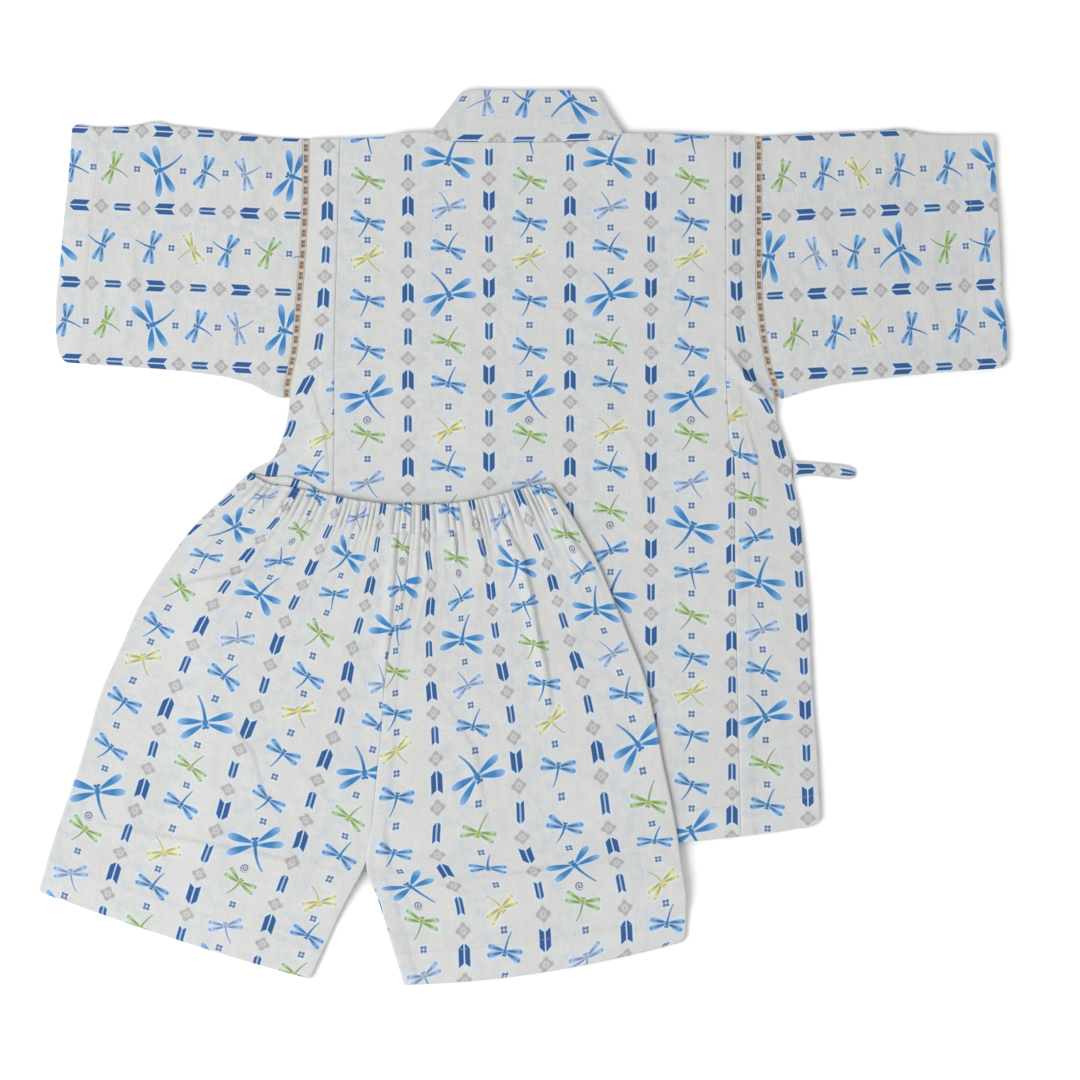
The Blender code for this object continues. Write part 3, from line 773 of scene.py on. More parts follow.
def make_leg(side):
    """A leg: one piece folded at its outer edge, gathered at the waist, with its hem turned up."""
    settings = bpy.context.scene.jinbei_cloth
    cell, hem = settings.cell / MM, settings.shorts_hem / MM
    turn, table = TURN[side], LEG[side]
    inset, height, layer, upper = folded_run(LEG_WIDTH, cell * 0.52, cell * 1.6)
    part = (inset / LEG_WIDTH)[None, :]
    rows = stations(0.0, LEG_LENGTH, cell * 0.52)
    along = (rows / LEG_LENGTH)[:, None]
    section = along * LAST_SECTION
    from_hem = (1.0 - along) * LEG_LENGTH
    from_centre = (1.0 - part) * LEG_WIDTH
    outer_across = read(table, section, 1) - turn * corner_inset(from_hem, LEG_CORNER[side])
    inner_across = read(table, section, 3) + turn * 0.5 * SEAM_LINE
    across = mix(outer_across, inner_across, part)
    chord = mix(read(table, section, 2), read(table, section, 4), part)
    waist_across = mix(table[0][1], table[0][3], part)
    from_seam = read(WAIST_SEAM, waist_across) + SEAM_LINE - mix(table[0][2], table[0][4], part)
    bow = along**HEM_BOW_POWER * LEG_HEM_BOW[side] * 4.0 * part * (1.0 - part)
    down = chord + from_seam * (1.0 - along) ** WAIST_EASE_POWER + bow
    round_waist = (waist_across - WAIST_SEAM[0][0]) / (WAIST_SEAM[-1][0] - WAIST_SEAM[0][0])
    gathers = LEG_GATHER_SHARE * gather_rise(round_waist, 0.2, along) * ease(from_centre / 3.0)
    turned = 0.5 * ease(from_centre) * ease((SEAM_TURNING - from_centre) / 1.6)
    turned = turned * (1.0 if side == "right" else 0.2)
    rise = upper * (gathers + crease_rise(SHORTS_CREASES, across, down) + hem_rise(from_hem, hem) + turned)
    middle = placed(across, down, shorts_height(across, down) + height[None, :] + rise, SHORTS)
    lips = lip(rows[-1] - rows)[:, None] * lip(LEG_WIDTH - inset)[None, :]
    fold_column = read(LEG_PRINT_OUTER[side], section)
    beyond_fold = mix(fold_column, read(LEG_PRINT_INNER[side], section), part) - fold_column
    steps = tuple(enumerate(LEG_PRINT_DOWN[side]))
    prints = (fold_column + beyond_fold * layer[None, :], read(steps, section) / COLUMN_PITCH)
    stitches = (from_hem - hem + STITCH_INSET, across)
    node = "shorts_leg_" + side
    piece = cloth_piece(node + "_cloth", middle, lips, prints, stitches, cotton())
    sheet_of(node, area=83000.0)


def waist_place(part, low, back):
    """A place on the waistband, low from 0 at its top edge to 1 at the seam with the legs."""
    top_across = mix(WAIST_TOP[0][0], WAIST_TOP[-1][0], part)
    seam_across = mix(WAIST_SEAM[0][0], WAIST_SEAM[-1][0], part)
    top_down = read(WAIST_TOP, top_across)
    shown = clamp((top_across - BACK_WAIST_START) / (BACK_WAIST_END - BACK_WAIST_START))
    top_down = top_down - back * BACK_WAIST_SHOW * np.sin(math.pi * shown)
    return mix(top_across, seam_across, low), mix(top_down, read(WAIST_SEAM, seam_across), low)


def make_waistband():
    """The gathered casing: a flattened ring of cloth over the elastic, its front over its back."""
    width = WAIST_SEAM[-1][0] - WAIST_SEAM[0][0]
    front = np.linspace(FOLD_CENTRE, width - FOLD_CENTRE, WAIST_STEPS) / width
    back = front[::-1][::3]
    bulge = FOLD_RADIUS * np.cos(FOLD_TURN)
    right_end = (width - FOLD_CENTRE + bulge) / width
    left_end = ((FOLD_CENTRE - bulge) / width)[::-1]
    part = np.concatenate((front, right_end, back, left_end))[None, :]
    bend = np.sin(FOLD_TURN)
    side = np.concatenate((np.ones(len(front)), bend, -np.ones(len(back)), bend[::-1]))
    is_back = (side < 0.0).astype(float)[None, :]
    rows = stations(0.0, WAIST_DEPTH, FINE_CELL)
    low = (rows / WAIST_DEPTH)[:, None]
    across, down = waist_place(part, low, is_back)
    from_end = np.minimum(part, 1.0 - part) * width
    upper = (side > 0.0)[None, :] * ease(from_end / FOLD_FADE)
    puff = 0.6 + 0.5 * np.sin(math.pi * low) ** 0.7
    pinch = np.exp(-(((rows - WAIST_STITCH) / 1.1) ** 2))[:, None]
    gathers = gather_rise(part) * puff * (1.0 - 0.35 * pinch)
    down = down + 0.5 * (gathers - 1.0) * (1.0 - low) ** 3 * upper
    height = FOLD_CENTRE + FOLD_RADIUS * side[None, :] + upper * gathers
    middle = placed(across, down, shorts_height(across, down) + height, SHORTS)
    lips = lip(rows)[:, None] * np.ones(part.shape)
    seam_part = (LEG["left"][0][3] - WAIST_SEAM[0][0]) / width
    left_print = LEG_PRINT_OUTER["left"][0][1], LEG_PRINT_INNER["left"][0][1]
    right_print = LEG_PRINT_INNER["right"][0][1], LEG_PRINT_OUTER["right"][0][1]
    left = mix(*left_print, part / seam_part)
    right = mix(*right_print, (part - seam_part) / (1.0 - seam_part))
    column = np.where(part < seam_part, left, right)
    leg_top = np.where(part < seam_part, LEG_PRINT_DOWN["left"][0], LEG_PRINT_DOWN["right"][0])
    prints = (column, mix(WAIST_PRINT_TOP, leg_top, low) / COLUMN_PITCH)
    stitches = (np.abs(rows - WAIST_STITCH)[:, None], part * width)
    piece = cloth_piece("shorts_waistband_cloth", middle, lips, prints, stitches, cotton(), ring=True)
    sheet_of("shorts_waistband")


def make_sleeve(side, lace_piece):
    """A sleeve: one piece folded along its top and sewn under the arm."""
    settings = bpy.context.scene.jinbei_cloth
    cell, hem = settings.cell / MM, settings.cuff_hem / MM
    length = UNDERARM_DOWN - SHOULDER_FOLD_DOWN
    inset, height, layer, upper = folded_run(length, cell * 0.8, cell * 1.6)
    part = (inset / length)[None, :]
    rows = stations(0.0, SLEEVE_LENGTH, cell)
    along = (rows / SLEEVE_LENGTH)[:, None]
    lace = bpy.context.scene.jinbei_lace.width / MM
    low = mix(SHOULDER_FOLD_DOWN, UNDERARM_DOWN, part)
    body_side = armhole_reach(side, low) + 2.0 * SEAM_LINE + lace
    cuff = read(CUFF[side], part) - corner_inset(np.minimum(inset, length - inset)[None, :], CUFF_CORNER)
    reach = mix(body_side, cuff, along)
    top = read(SLEEVE_TOP[side], reach)
    down = mix(top, read(SLEEVE_BOTTOM[side], reach), part)
    across = TURN[side] * reach
    from_cuff = (1.0 - along) * SLEEVE_LENGTH
    rise = upper * (crease_rise(SLEEVE_CREASES, across, down) + hem_rise(from_cuff, hem))
    middle = placed(across, down, height[None, :] + rise, JACKET)
    lips = lip(both_ends(rows))[:, None] * lip(length - inset)[None, :]
    at_zero, by_across, by_down, start, rate, skew = SLEEVE_PRINT[side]
    column = at_zero + by_across * across + by_down * (top + (down - top) * layer[None, :])
    prints = (column, (start + rate * (across + skew * down)) / COLUMN_PITCH)
    from_lace = np.abs(from_cuff - SLEEVE_LENGTH + STITCH_INSET)
    stitches = (np.minimum(from_cuff - hem + STITCH_INSET, from_lace), down)
    node = "sleeve_" + side
    piece = cloth_piece(node + "_cloth", middle, lips, prints, stitches, cotton())
    sheet_of(node, sewn=(lace_piece,))


def make_lace(side):
    """The ladder lace round an armhole: two rails, thick rungs and a thin net across each opening, which
    takes the painted shadow colour of the openings.
    """
    settings = bpy.context.scene.jinbei_lace
    width, unit = settings.width / MM, settings.repeat / MM
    rung = unit * settings.rung_share
    length = UNDERARM_DOWN - SHOULDER_FOLD_DOWN
    marks = (0.0, 0.1 * rung, 0.5 * rung, 0.9 * rung, rung, 0.5 * (rung + unit))
    count = int((length - FOLD_CENTRE) / unit)
    flat = [FOLD_CENTRE + number * unit + mark for number in range(count) for mark in marks]
    flat = np.array(flat + [length])
    inset = np.concatenate((flat[::-1], FOLD_CENTRE - FOLD_RADIUS * np.cos(FOLD_TURN), flat))
    layer = np.concatenate((np.ones(len(flat)), np.sin(FOLD_TURN), -np.ones(len(flat))))
    half_rails = (0.0, 0.15, 0.65, RAIL_WIDTH)
    rails = np.array((*half_rails, 0.5 * width, *(width - place for place in half_rails[::-1])))
    from_rail = np.minimum(rails, width - rails)
    part = (inset / length)[None, :]
    low = mix(SHOULDER_FOLD_DOWN, UNDERARM_DOWN, part)
    reach = armhole_reach(side, low) + SEAM_LINE + rails[:, None]
    down = mix(read(SLEEVE_TOP[side], reach), UNDERARM_DOWN, part)
    phase = ((inset - FOLD_CENTRE) % unit)[None, :]
    on_rung = ease(phase / 0.3) * ease((rung - phase) / 0.3)
    on_rail = ease((RAIL_WIDTH - from_rail) / 0.2)[:, None]
    height = (FOLD_CENTRE + FOLD_RADIUS * layer)[None, :]
    middle = placed(TURN[side] * reach, down, height, JACKET)
    lips = (0.35 + 0.6 * np.maximum(on_rung, on_rail)) * lip(from_rail)[:, None]
    prints = ((rails / width)[:, None], (inset - FOLD_CENTRE)[None, :] / unit)
    node = "lace_" + side
    piece = cloth_piece(node + "_trim", middle, lips, prints, (NO_STITCH, 0.0), lace_material())
    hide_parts(node)
    return piece


def band_place(down, part, turn):
    """A place on a front's collar band, from its seam to its free edge."""
    seam = np.where(down <= SHOULDER_DOWN, NECK_LEFT + FOLD_INSET, read(FRONT_SEAM, down))
    squareness = clamp((down - SHOULDER_DOWN) / (BAND_SQUARE_DOWN - SHOULDER_DOWN))
    across = seam + part * mix(COLLAR_TOP[0][0] - NECK_LEFT, BAND_WIDTH, squareness)
    lift = part * (1.0 - squareness) * (read(TOP_EDGE, NECK_LEFT) - COLLAR_TOP[0][1])
    return turn * across, body_down(across, down) - lift


def make_collar():
    """The collar band: down the outer front, over the back neck, and down the inner front."""
    rows = stations(0.0, BAND_WIDTH, 2.2)
    part = (rows / BAND_WIDTH)[:, None]
    downs = stations(SHOULDER_DOWN, SIDE_HEM_DOWN, 5.0)
    neck = np.linspace(0.0, 1.0, COLLAR_NECK_STEPS)[None, :]
    turn = FOLD_TURN[::-1][None, :]

    band_across, band_down = band_place(downs[::-1][None, :], part, 1.0)
    inner_across, inner_down = band_place(downs[None, :], part, -1.0)
    low = mix(NECK_LEFT - 1.0, NECK_RIGHT - 4.0, neck)
    high = mix(COLLAR_TOP[0][0] + 1.0, COLLAR_TOP[-1][0] - 2.4, neck)
    neck_across = mix(low, high, part)
    neck_down = mix(read(TOP_EDGE, low) - SEAM_LINE, read(COLLAR_TOP, high), part)

    half = 0.5 * CLOTH
    outer = (band_across, band_down, half * np.ones(band_across.shape))
    over = (neck_across, neck_down, (2.0 * PITCH + half) * np.ones(neck_across.shape))
    inner = (inner_across, inner_down, (PITCH + half) * np.ones(inner_across.shape))

    def corner(before, after, outward):
        spot = 0.5 + 0.5 * np.sin(turn)
        bulge = (outward * COLLAR_CORNER * np.cos(turn), 0.0, 0.0)
        return [mix(a[:, -1:], b[:, :1], spot) + out for a, b, out in zip(before, after, bulge)]

    stretches = (outer, corner(outer, over, -1.0), over, corner(over, inner, 1.0), inner)
    across, down, height = (np.concatenate(parts, axis=1) for parts in zip(*stretches))
    middle = placed(across, down, height, JACKET)
    line = np.hypot(np.diff(across, axis=1), np.diff(down, axis=1))[len(rows) // 2]
    travelled = np.concatenate(([0.0], np.cumsum(line)))
    middle_neck = len(downs) + turn.size + COLLAR_NECK_STEPS // 2 - 1
    places = 75.0 + (travelled - travelled[middle_neck]) * 0.92 / PRINT_MM
    prints = (-0.02 + 0.64 * part, places[None, :] / COLUMN_PITCH)
    stitches = (np.abs(rows - STITCH_INSET)[:, None], travelled[None, :])
    piece = cloth_piece("collar_cloth", middle, rim(rows, travelled), prints, stitches, cotton())
    sheet_of("collar")


def make_tie(name, across, down):
    """A short flat tie with a rounded free end."""
    columns, rows = stations(0.0, TIE_LENGTH, FINE_CELL), stations(0.0, TIE_WIDTH, FINE_CELL)
    part = (rows / TIE_WIDTH)[:, None]
    along = (columns / TIE_LENGTH)[None, :]
    low = TIE_WIDTH * mix(read(TIE, along, 1), read(TIE, along, 2), part)
    ridge = 0.25 * np.sin(math.pi * part) * (1.0 + np.sin(along * 17.0)) * ease(along / 0.15)
    middle = placed(across + along * TIE_LENGTH, down + low, 0.5 * CLOTH + ridge, JACKET)
    prints = ((part - 0.5) * TIE_WIDTH / PITCH_MM, (45.0 - columns[None, :] / PRINT_MM) / COLUMN_PITCH)
    stitches = (np.abs(both_ends(rows) - TIE_STITCH)[:, None], columns[None, :])
    piece = cloth_piece(name + "_cloth", middle, rim(rows, columns), prints, stitches, cotton())
    sheet_of(name)


class Value:
    """A number in a material. Formulas written with it add the Math nodes that work it out."""

    def __init__(self, nodes, socket):
        self.nodes = nodes
        self.socket = socket

    def __add__(self, other):
        return self.nodes.math("ADD", self, other)

    def __radd__(self, other):
        return self.nodes.math("ADD", other, self)

    def __sub__(self, other):
        return self.nodes.math("SUBTRACT", self, other)

    def __rsub__(self, other):
        return self.nodes.math("SUBTRACT", other, self)

    def __mul__(self, other):
        return self.nodes.math("MULTIPLY", self, other)

    def __rmul__(self, other):
        return self.nodes.math("MULTIPLY", other, self)

    def __truediv__(self, other):
        return self.nodes.math("DIVIDE", self, other)

    def __neg__(self):
        return self.nodes.math("MULTIPLY", self, -1.0)

    def __abs__(self):
        return self.nodes.math("ABSOLUTE", self)

    def __mod__(self, other):
        return self.nodes.math("FLOORED_MODULO", self, other)

    def squared(self):
        """The number times itself."""
        return self * self

    def inside(self, sharpness=1.0):
        """1 where the number is well over 0 and 0 where it is well under, with a soft edge."""
        return self.nodes.math("MULTIPLY_ADD", self, sharpness, 0.5, clamp=True)

    def clamped(self, factor=1.0):
        """The number times a factor, kept between 0 and 1."""
        return self.nodes.math("MULTIPLY", self, factor, clamp=True)


class Nodes:
    """Adds nodes to a material, and joins each to the outputs that it reads."""

    def __init__(self, material):
        material.use_nodes = True
        self.tree = material.node_tree
        self.tree.nodes.clear()

    def add(self, kind, **settings):
        """A node of a kind, with its settings."""
        node = self.tree.nodes.new("ShaderNode" + kind)
        for name, value in settings.items():
            setattr(node, name, value)
        return node

    def feed(self, socket, value):
        """Gives a socket a number, a colour or another node's output."""
        if isinstance(value, Value):
            value = value.socket
        if isinstance(value, bpy.types.NodeSocket):
            self.tree.links.new(value, socket)
        else:
            socket.default_value = value

    def math(self, operation, *values, clamp=False):
        """A number worked out from others."""
        node = self.add("Math", operation=operation, use_clamp=clamp)
        for socket, value in zip(node.inputs, values):
            self.feed(socket, value)
        return Value(self, node.outputs[0])

    def least(self, *values):
        """The lowest of some numbers."""
        lowest = values[0]
        for value in values[1:]:
            lowest = self.math("MINIMUM", lowest, value)
        return lowest

    def most(self, *values):
        """The highest of some numbers."""
        highest = values[0]
        for value in values[1:]:
            highest = self.math("MAXIMUM", highest, value)
        return highest

    def blend(self, factor, first, second, mode="MIX"):
        """One colour over another by a factor."""
        node = self.add("Mix", data_type="RGBA", blend_type=mode)
        self.feed(node.inputs[0], factor)
        self.feed(node.inputs[6], first)
        self.feed(node.inputs[7], second)
        return node.outputs[2]

    def map_parts(self, name):
        """The two numbers of a map on the cloth."""
        node = self.add("SeparateXYZ")
        self.feed(node.inputs[0], self.add("UVMap", uv_map=name).outputs[0])
        return Value(self, node.outputs[0]), Value(self, node.outputs[1])

    def noise(self, across, down, scale, detail=2.0, roughness=0.5):
        """Noise at a place on the cloth."""
        place = self.add("CombineXYZ")
        self.feed(place.inputs[0], across)
        self.feed(place.inputs[1], down)
        node = self.add("TexNoise", noise_dimensions="2D")
        self.feed(node.inputs["Vector"], place.outputs[0])
        node.inputs["Scale"].default_value = scale
        node.inputs["Detail"].default_value = detail
        node.inputs["Roughness"].default_value = roughness
        return Value(self, node.outputs["Fac"])

    def steps(self, position, stops):
        """A colour that changes in steps along a position from 0 to 1."""
        node = self.add("ValToRGB")
        band = node.color_ramp
        band.interpolation = "CONSTANT"
        band.elements.remove(band.elements[1])
        band.elements[0].position = 0.0
        band.elements[0].color = stops[0][1]
        for place, colour in stops[1:]:
            band.elements.new(place).color = colour
        self.feed(node.inputs[0], position)
        return node.outputs[0]

    def split(self, colour):
        """The three numbers of a colour."""
        node = self.add("SeparateColor")
        self.feed(node.inputs[0], colour)
        return [Value(self, socket) for socket in node.outputs[:3]]

    def tinted(self, colour, shades):
        """A colour with each of its three parts darkened by a shade."""
        node = self.add("CombineColor")
        for socket, shade in zip(node.inputs, shades):
            self.feed(socket, shade)
        return self.blend(1.0, colour, node.outputs[0], "MULTIPLY")


def ink(name):
    """A colour of the print, as a socket takes it."""
    return (*getattr(bpy.context.scene.jinbei_print, name), 1.0)


def coded(value, code):
    """A number packed between 0 and 1."""
    return (value - code[0]) / code[1]


def decoded(part, code):
    """A packed number as it was."""
    return part * code[1] + code[0]


def along_repeat(items):
    """Steps along the print's repeat from items that each hold a start and what follows from it."""
    copies = [(start + shift, shift, values) for start, values in items for shift in (-REPEAT, 0.0, REPEAT)]
    copies.sort(key=lambda item: item[0])
    first = [item for item in copies if item[0] <= 0.0][-1]
    inside = [item for item in copies if 0.0 < item[0] < REPEAT]
    return [(0.0, first[1], first[2])] + [(start / REPEAT, shift, values) for start, shift, values in inside]


def flight_reach(flight):
    """How far a dragonfly's front wings reach past its middle, towards its head."""
    size = 1.0 if flight[3] else SMALL_SIZE
    return size * (27.0 * math.sin(math.radians(25.0 + abs(flight[2]))) + 3.0)


def flight_steps(flights, down):
    """For each dragonfly of a column, its centre, tilt and size as a colour, and the colour of its wings."""
    reaches = [flight_reach(flight) for flight in flights]
    items = []
    for index, flight in enumerate(flights):
        start = flight[0] - reaches[index]
        if down:
            before = flights[index - 1]
            start = before[0] + reaches[index - 1] - (REPEAT if index == 0 else 0.0)
        items.append((start, flight))
    places, colours = [], []
    for start, shift, (centre, colour, tilt, large) in along_repeat(items):
        turned = tilt + (180.0 if down else 0.0)
        values = (coded(centre + shift, PLACE_CODE), coded(turned, TILT_CODE), float(large), 1.0)
        places.append((start, values))
        colours.append((start, ink(colour)))
    return places, colours


def mark_steps(flights, swirl):
    """For each gap between dragonflies, the place of its small mark, and whether that is a swirl."""
    items = []
    for index, flight in enumerate(flights):
        after = flights[(index + 1) % len(flights)][0]
        after += REPEAT if after < flight[0] else 0.0
        centre = 0.5 * (flight[0] + after)
        is_swirl = flight[0] < swirl < after
        items.append((flight[0], (swirl if is_swirl else centre, float(is_swirl))))
    places = []
    for start, shift, (centre, kind) in along_repeat(items):
        places.append((start, (coded(centre + shift, PLACE_CODE), kind, 0.0, 1.0)))
    return places


def half_column(nodes, column, place):
    """How far a place is from the middle of its half column, whether that is odd, and where it repeats."""
    side = (nodes.math("FRACT", column) - 0.5) * COLUMN_PITCH
    return side, nodes.math("FLOOR", column) % 2.0, place % REPEAT


def pick(nodes, odd, spot, up, down):
    """The step of the up or the down column at a place in the repeat."""
    position = spot / REPEAT
    return nodes.blend(odd, nodes.steps(position, down), nodes.steps(position, up))


def oval(across, along, reach):
    """How far inside an oval a place is."""
    return 1.0 - (across * (1.0 / reach[0])).squared() - (along * (1.0 / reach[1])).squared()


def distance(nodes, across, along):
    """How far a place is from the middle of its motif."""
    return nodes.math("SQRT", across.squared() + along.squared())


def wing(nodes, out, forward, kind, half_width):
    """How far inside a wing a place is, how far along it, and how far to the head's side of its middle."""
    root, angle, length = kind
    cosine, sine = math.cos(math.radians(angle)), math.sin(math.radians(angle))
    out, forward = out - 1.4, forward - root
    along = nodes.math("MAXIMUM", (out * cosine + forward * sine) * (1.0 / length), 0.0)
    beside = (forward * cosine - out * sine) / half_width
    shape = nodes.math("POWER", along, 1.3) * (1.0 - nodes.math("POWER", along, 4.5)) * 2.0
    return shape - beside.squared(), along, beside


def draw_dragonflies(nodes, ground, column, place):
    """Dragonflies down every other half column, over the ground colour."""
    side, odd, spot = half_column(nodes, column, place)
    up_places, up_colours = flight_steps(UP_FLIGHT, False)
    down_places, down_colours = flight_steps(DOWN_FLIGHT, True)
    centre, turned, large = nodes.split(pick(nodes, odd, spot, up_places, down_places))
    tone = pick(nodes, odd, spot, up_colours, down_colours)
    off = spot - decoded(centre, PLACE_CODE)
    angle = decoded(turned, TILT_CODE) * math.radians(1.0)
    cosine, sine = nodes.math("COSINE", angle), nodes.math("SINE", angle)
    size = large * (1.0 - SMALL_SIZE) + SMALL_SIZE
    small = 1.0 - large
    forward = (side * sine - off * cosine) / size
    out = (side * cosine + off * sine) / size
    away = abs(out)
    half_width = 5.3 - large * 1.9
    spread = forward * (1.0 + small * 0.3)

    front, front_along, front_beside = wing(nodes, away, spread, FRONT_WING, half_width)
    rear, rear_along, rear_beside = wing(nodes, away, spread, REAR_WING, half_width)
    wings = nodes.most(front, rear)
    is_front = nodes.math("GREATER_THAN", front, rear)
    along = rear_along + (front_along - rear_along) * is_front
    beside = rear_beside + (front_beside - rear_beside) * is_front
    from_middle = beside.squared()
    bend = out + sine * cosine * 0.026 * (forward + 1.0).squared()
    tail = nodes.least(1.6 + forward * 0.022 - abs(bend), (forward + 26.5) * 0.6, 0.0 - forward)
    thorax = oval(out, forward - 0.4, (2.5, 3.9))
    head = oval(out, forward - 5.0, (2.3, 1.5))
    eyes = 1.7 - (away - 2.1).squared() - (forward - 5.6).squared()

    paper = ink("halo")
    soft_tone = nodes.blend(0.5, tone, paper)
    deep_tone = nodes.blend(0.75, tone, ink("shade"), "MULTIPLY")
    edge = nodes.most(wings, tail * 0.7, thorax, head)
    colour = nodes.blend((edge + 0.75).inside(1.8) * 0.8, ground, nodes.blend(0.18, paper, soft_tone))
    tip = (along - 0.55) * 1.9 * large + (from_middle * 0.7 + 0.6) * small
    wing_colour = nodes.blend(tip.clamped(), tone, soft_tone)
    streak = (0.85 - along).clamped(2.6) * (1.0 - from_middle * 3.0)
    vein = (0.95 - along) * (beside * 0.6 + 0.45) * large + streak * small
    wing_colour = nodes.blend(vein.clamped(0.9), wing_colour, deep_tone)
    spots = (0.05 - abs(along - 0.89)).inside(13.0) * (1.0 - from_middle * 2.0) * small
    wing_colour = nodes.blend(spots.clamped(0.75), wing_colour, deep_tone)
    colour = nodes.blend(wings.inside(3.0), colour, wing_colour)
    far = (forward + 7.0).clamped(-0.03)
    tail_colour = nodes.blend(far, nodes.blend(0.4, deep_tone, tone), ink("diamond"))
    colour = nodes.blend(tail.inside(1.2), colour, tail_colour)
    colour = nodes.blend(nodes.most(thorax, head).inside(2.0), colour, nodes.blend(0.3, tone, deep_tone))
    return nodes.blend(eyes.inside(1.0) * 0.9, colour, deep_tone)


def draw_marks(nodes, ground, column, place):
    """Small wells of four dots, and swirls, in the gaps between dragonflies."""
    side, odd, spot = half_column(nodes, column, place)
    up, down = mark_steps(UP_FLIGHT, UP_SWIRL), mark_steps(DOWN_FLIGHT, DOWN_SWIRL)
    centre, swirl, _ = nodes.split(pick(nodes, odd, spot, up, down))
    off = spot - decoded(centre, PLACE_CODE)
    across, along = abs(side), abs(off)
    upright = nodes.least(0.85 - abs(across - 1.8), 3.3 - along)
    level = nodes.least(0.85 - abs(along - 1.8), 3.3 - across)
    dots = 0.9 - (across - 2.0).squared() - (along - 2.0).squared()
    well = nodes.most(upright, level, dots)
    radius = distance(nodes, side, off)
    turn = nodes.math("ARCTAN2", off, side) * (1.0 / (2.0 * math.pi)) + 0.5
    coil = (radius * 0.4 + turn) % 1.0
    curl = nodes.least((0.27 - abs(coil - 0.5)) * 2.5, 4.4 - radius)
    dark = nodes.blend(0.25, ink("arrow"), ink("diamond"))
    paper = (4.6 - nodes.most(across, along)).inside(1.0) * (1.0 - swirl) * 0.5
    colour = nodes.blend(paper, ground, ink("halo"))
    colour = nodes.blend(well.inside(1.5) * (1.0 - swirl) * 0.95, colour, dark)
    return nodes.blend(curl.inside(1.6) * swirl * 0.95, colour, dark)


def draw_columns(nodes, ground, column, place):
    """Columns of arrow feathers and four-petalled diamonds, pointing up and down in turn."""
    nearest = nodes.math("ROUND", column)
    side = (column - nearest) * COLUMN_PITCH
    odd = nearest % 2.0
    spot = (place - UP_ARROW_SHIFT - odd * (DOWN_ARROW_SHIFT - UP_ARROW_SHIFT)) % ARROW_REPEAT
    number = nodes.math("ROUND", spot / ARROW_STEP)
    off = spot - number * ARROW_STEP
    tipward = off * (odd * 2.0 - 1.0)
    is_diamond = number % 2.0
    large = nodes.math("COMPARE", number, 2.0, 0.5)
    away = abs(side)

    sizes = zip(SMALL_ARROW, LARGE_ARROW)
    half_width, half_length, cut, notch = (large * (big - little) + little for little, big in sizes)
    shoulder = (away + tipward - half_width + cut - half_length) * 0.707
    tail = notch - tipward - half_length - away * notch / half_width
    outside = nodes.most(away - half_width, tipward - half_length, shoulder, tail)
    arrow = (-outside).inside(1.0) * (1.0 - is_diamond)
    halo = (1.3 - outside).inside(1.0) * (1.0 - is_diamond)
    pale = (0.85 - large * 0.2 - away).inside(1.3 + large * 0.5) * (0.6 + large * 0.3)

    wide, tall = (oval(side, off, reach) for reach in PETALS)
    petals = nodes.most(wide, tall, 1.0 - (away + abs(off)) * (1.0 / LOZENGE_REACH))
    diamond = petals.inside(2.5) * is_diamond
    radius = distance(nodes, side, off)
    middle = (HOLE_RADIUS - radius).inside(0.7)
    eye = (EYE_RADIUS - radius).inside(1.2)

    colour = nodes.blend(halo * 0.65, ground, ink("halo"))
    arrow_colour = nodes.blend(pale, ink("arrow"), ink("halo"))
    colour = nodes.blend(arrow * 0.96, colour, arrow_colour)
    petal_colour = nodes.blend(middle * 0.6, ink("diamond"), ground)
    petal_colour = nodes.blend(eye * 0.8, petal_colour, ink("diamond"))
    return nodes.blend(diamond * 0.9, colour, petal_colour)


def finish_surface(nodes, colour, height, roughness, sheen):
    """The shader of a cloth: its colour, its relief, its roughness and a little sheen."""
    bump = nodes.add("Bump")
    bump.inputs["Strength"].default_value = 0.9
    bump.inputs["Distance"].default_value = 0.0002
    nodes.feed(bump.inputs["Height"], height)
    shader = nodes.add("BsdfPrincipled")
    nodes.feed(shader.inputs["Base Color"], colour)
    nodes.feed(shader.inputs["Roughness"], roughness)
    nodes.feed(shader.inputs["Normal"], bump.outputs[0])
    shader.inputs["Specular IOR Level"].default_value = 0.12
    shader.inputs["Sheen Weight"].default_value = sheen
    shader.inputs["Sheen Roughness"].default_value = 0.6
    output = nodes.add("OutputMaterial")
    nodes.feed(output.inputs["Surface"], shader.outputs[0])


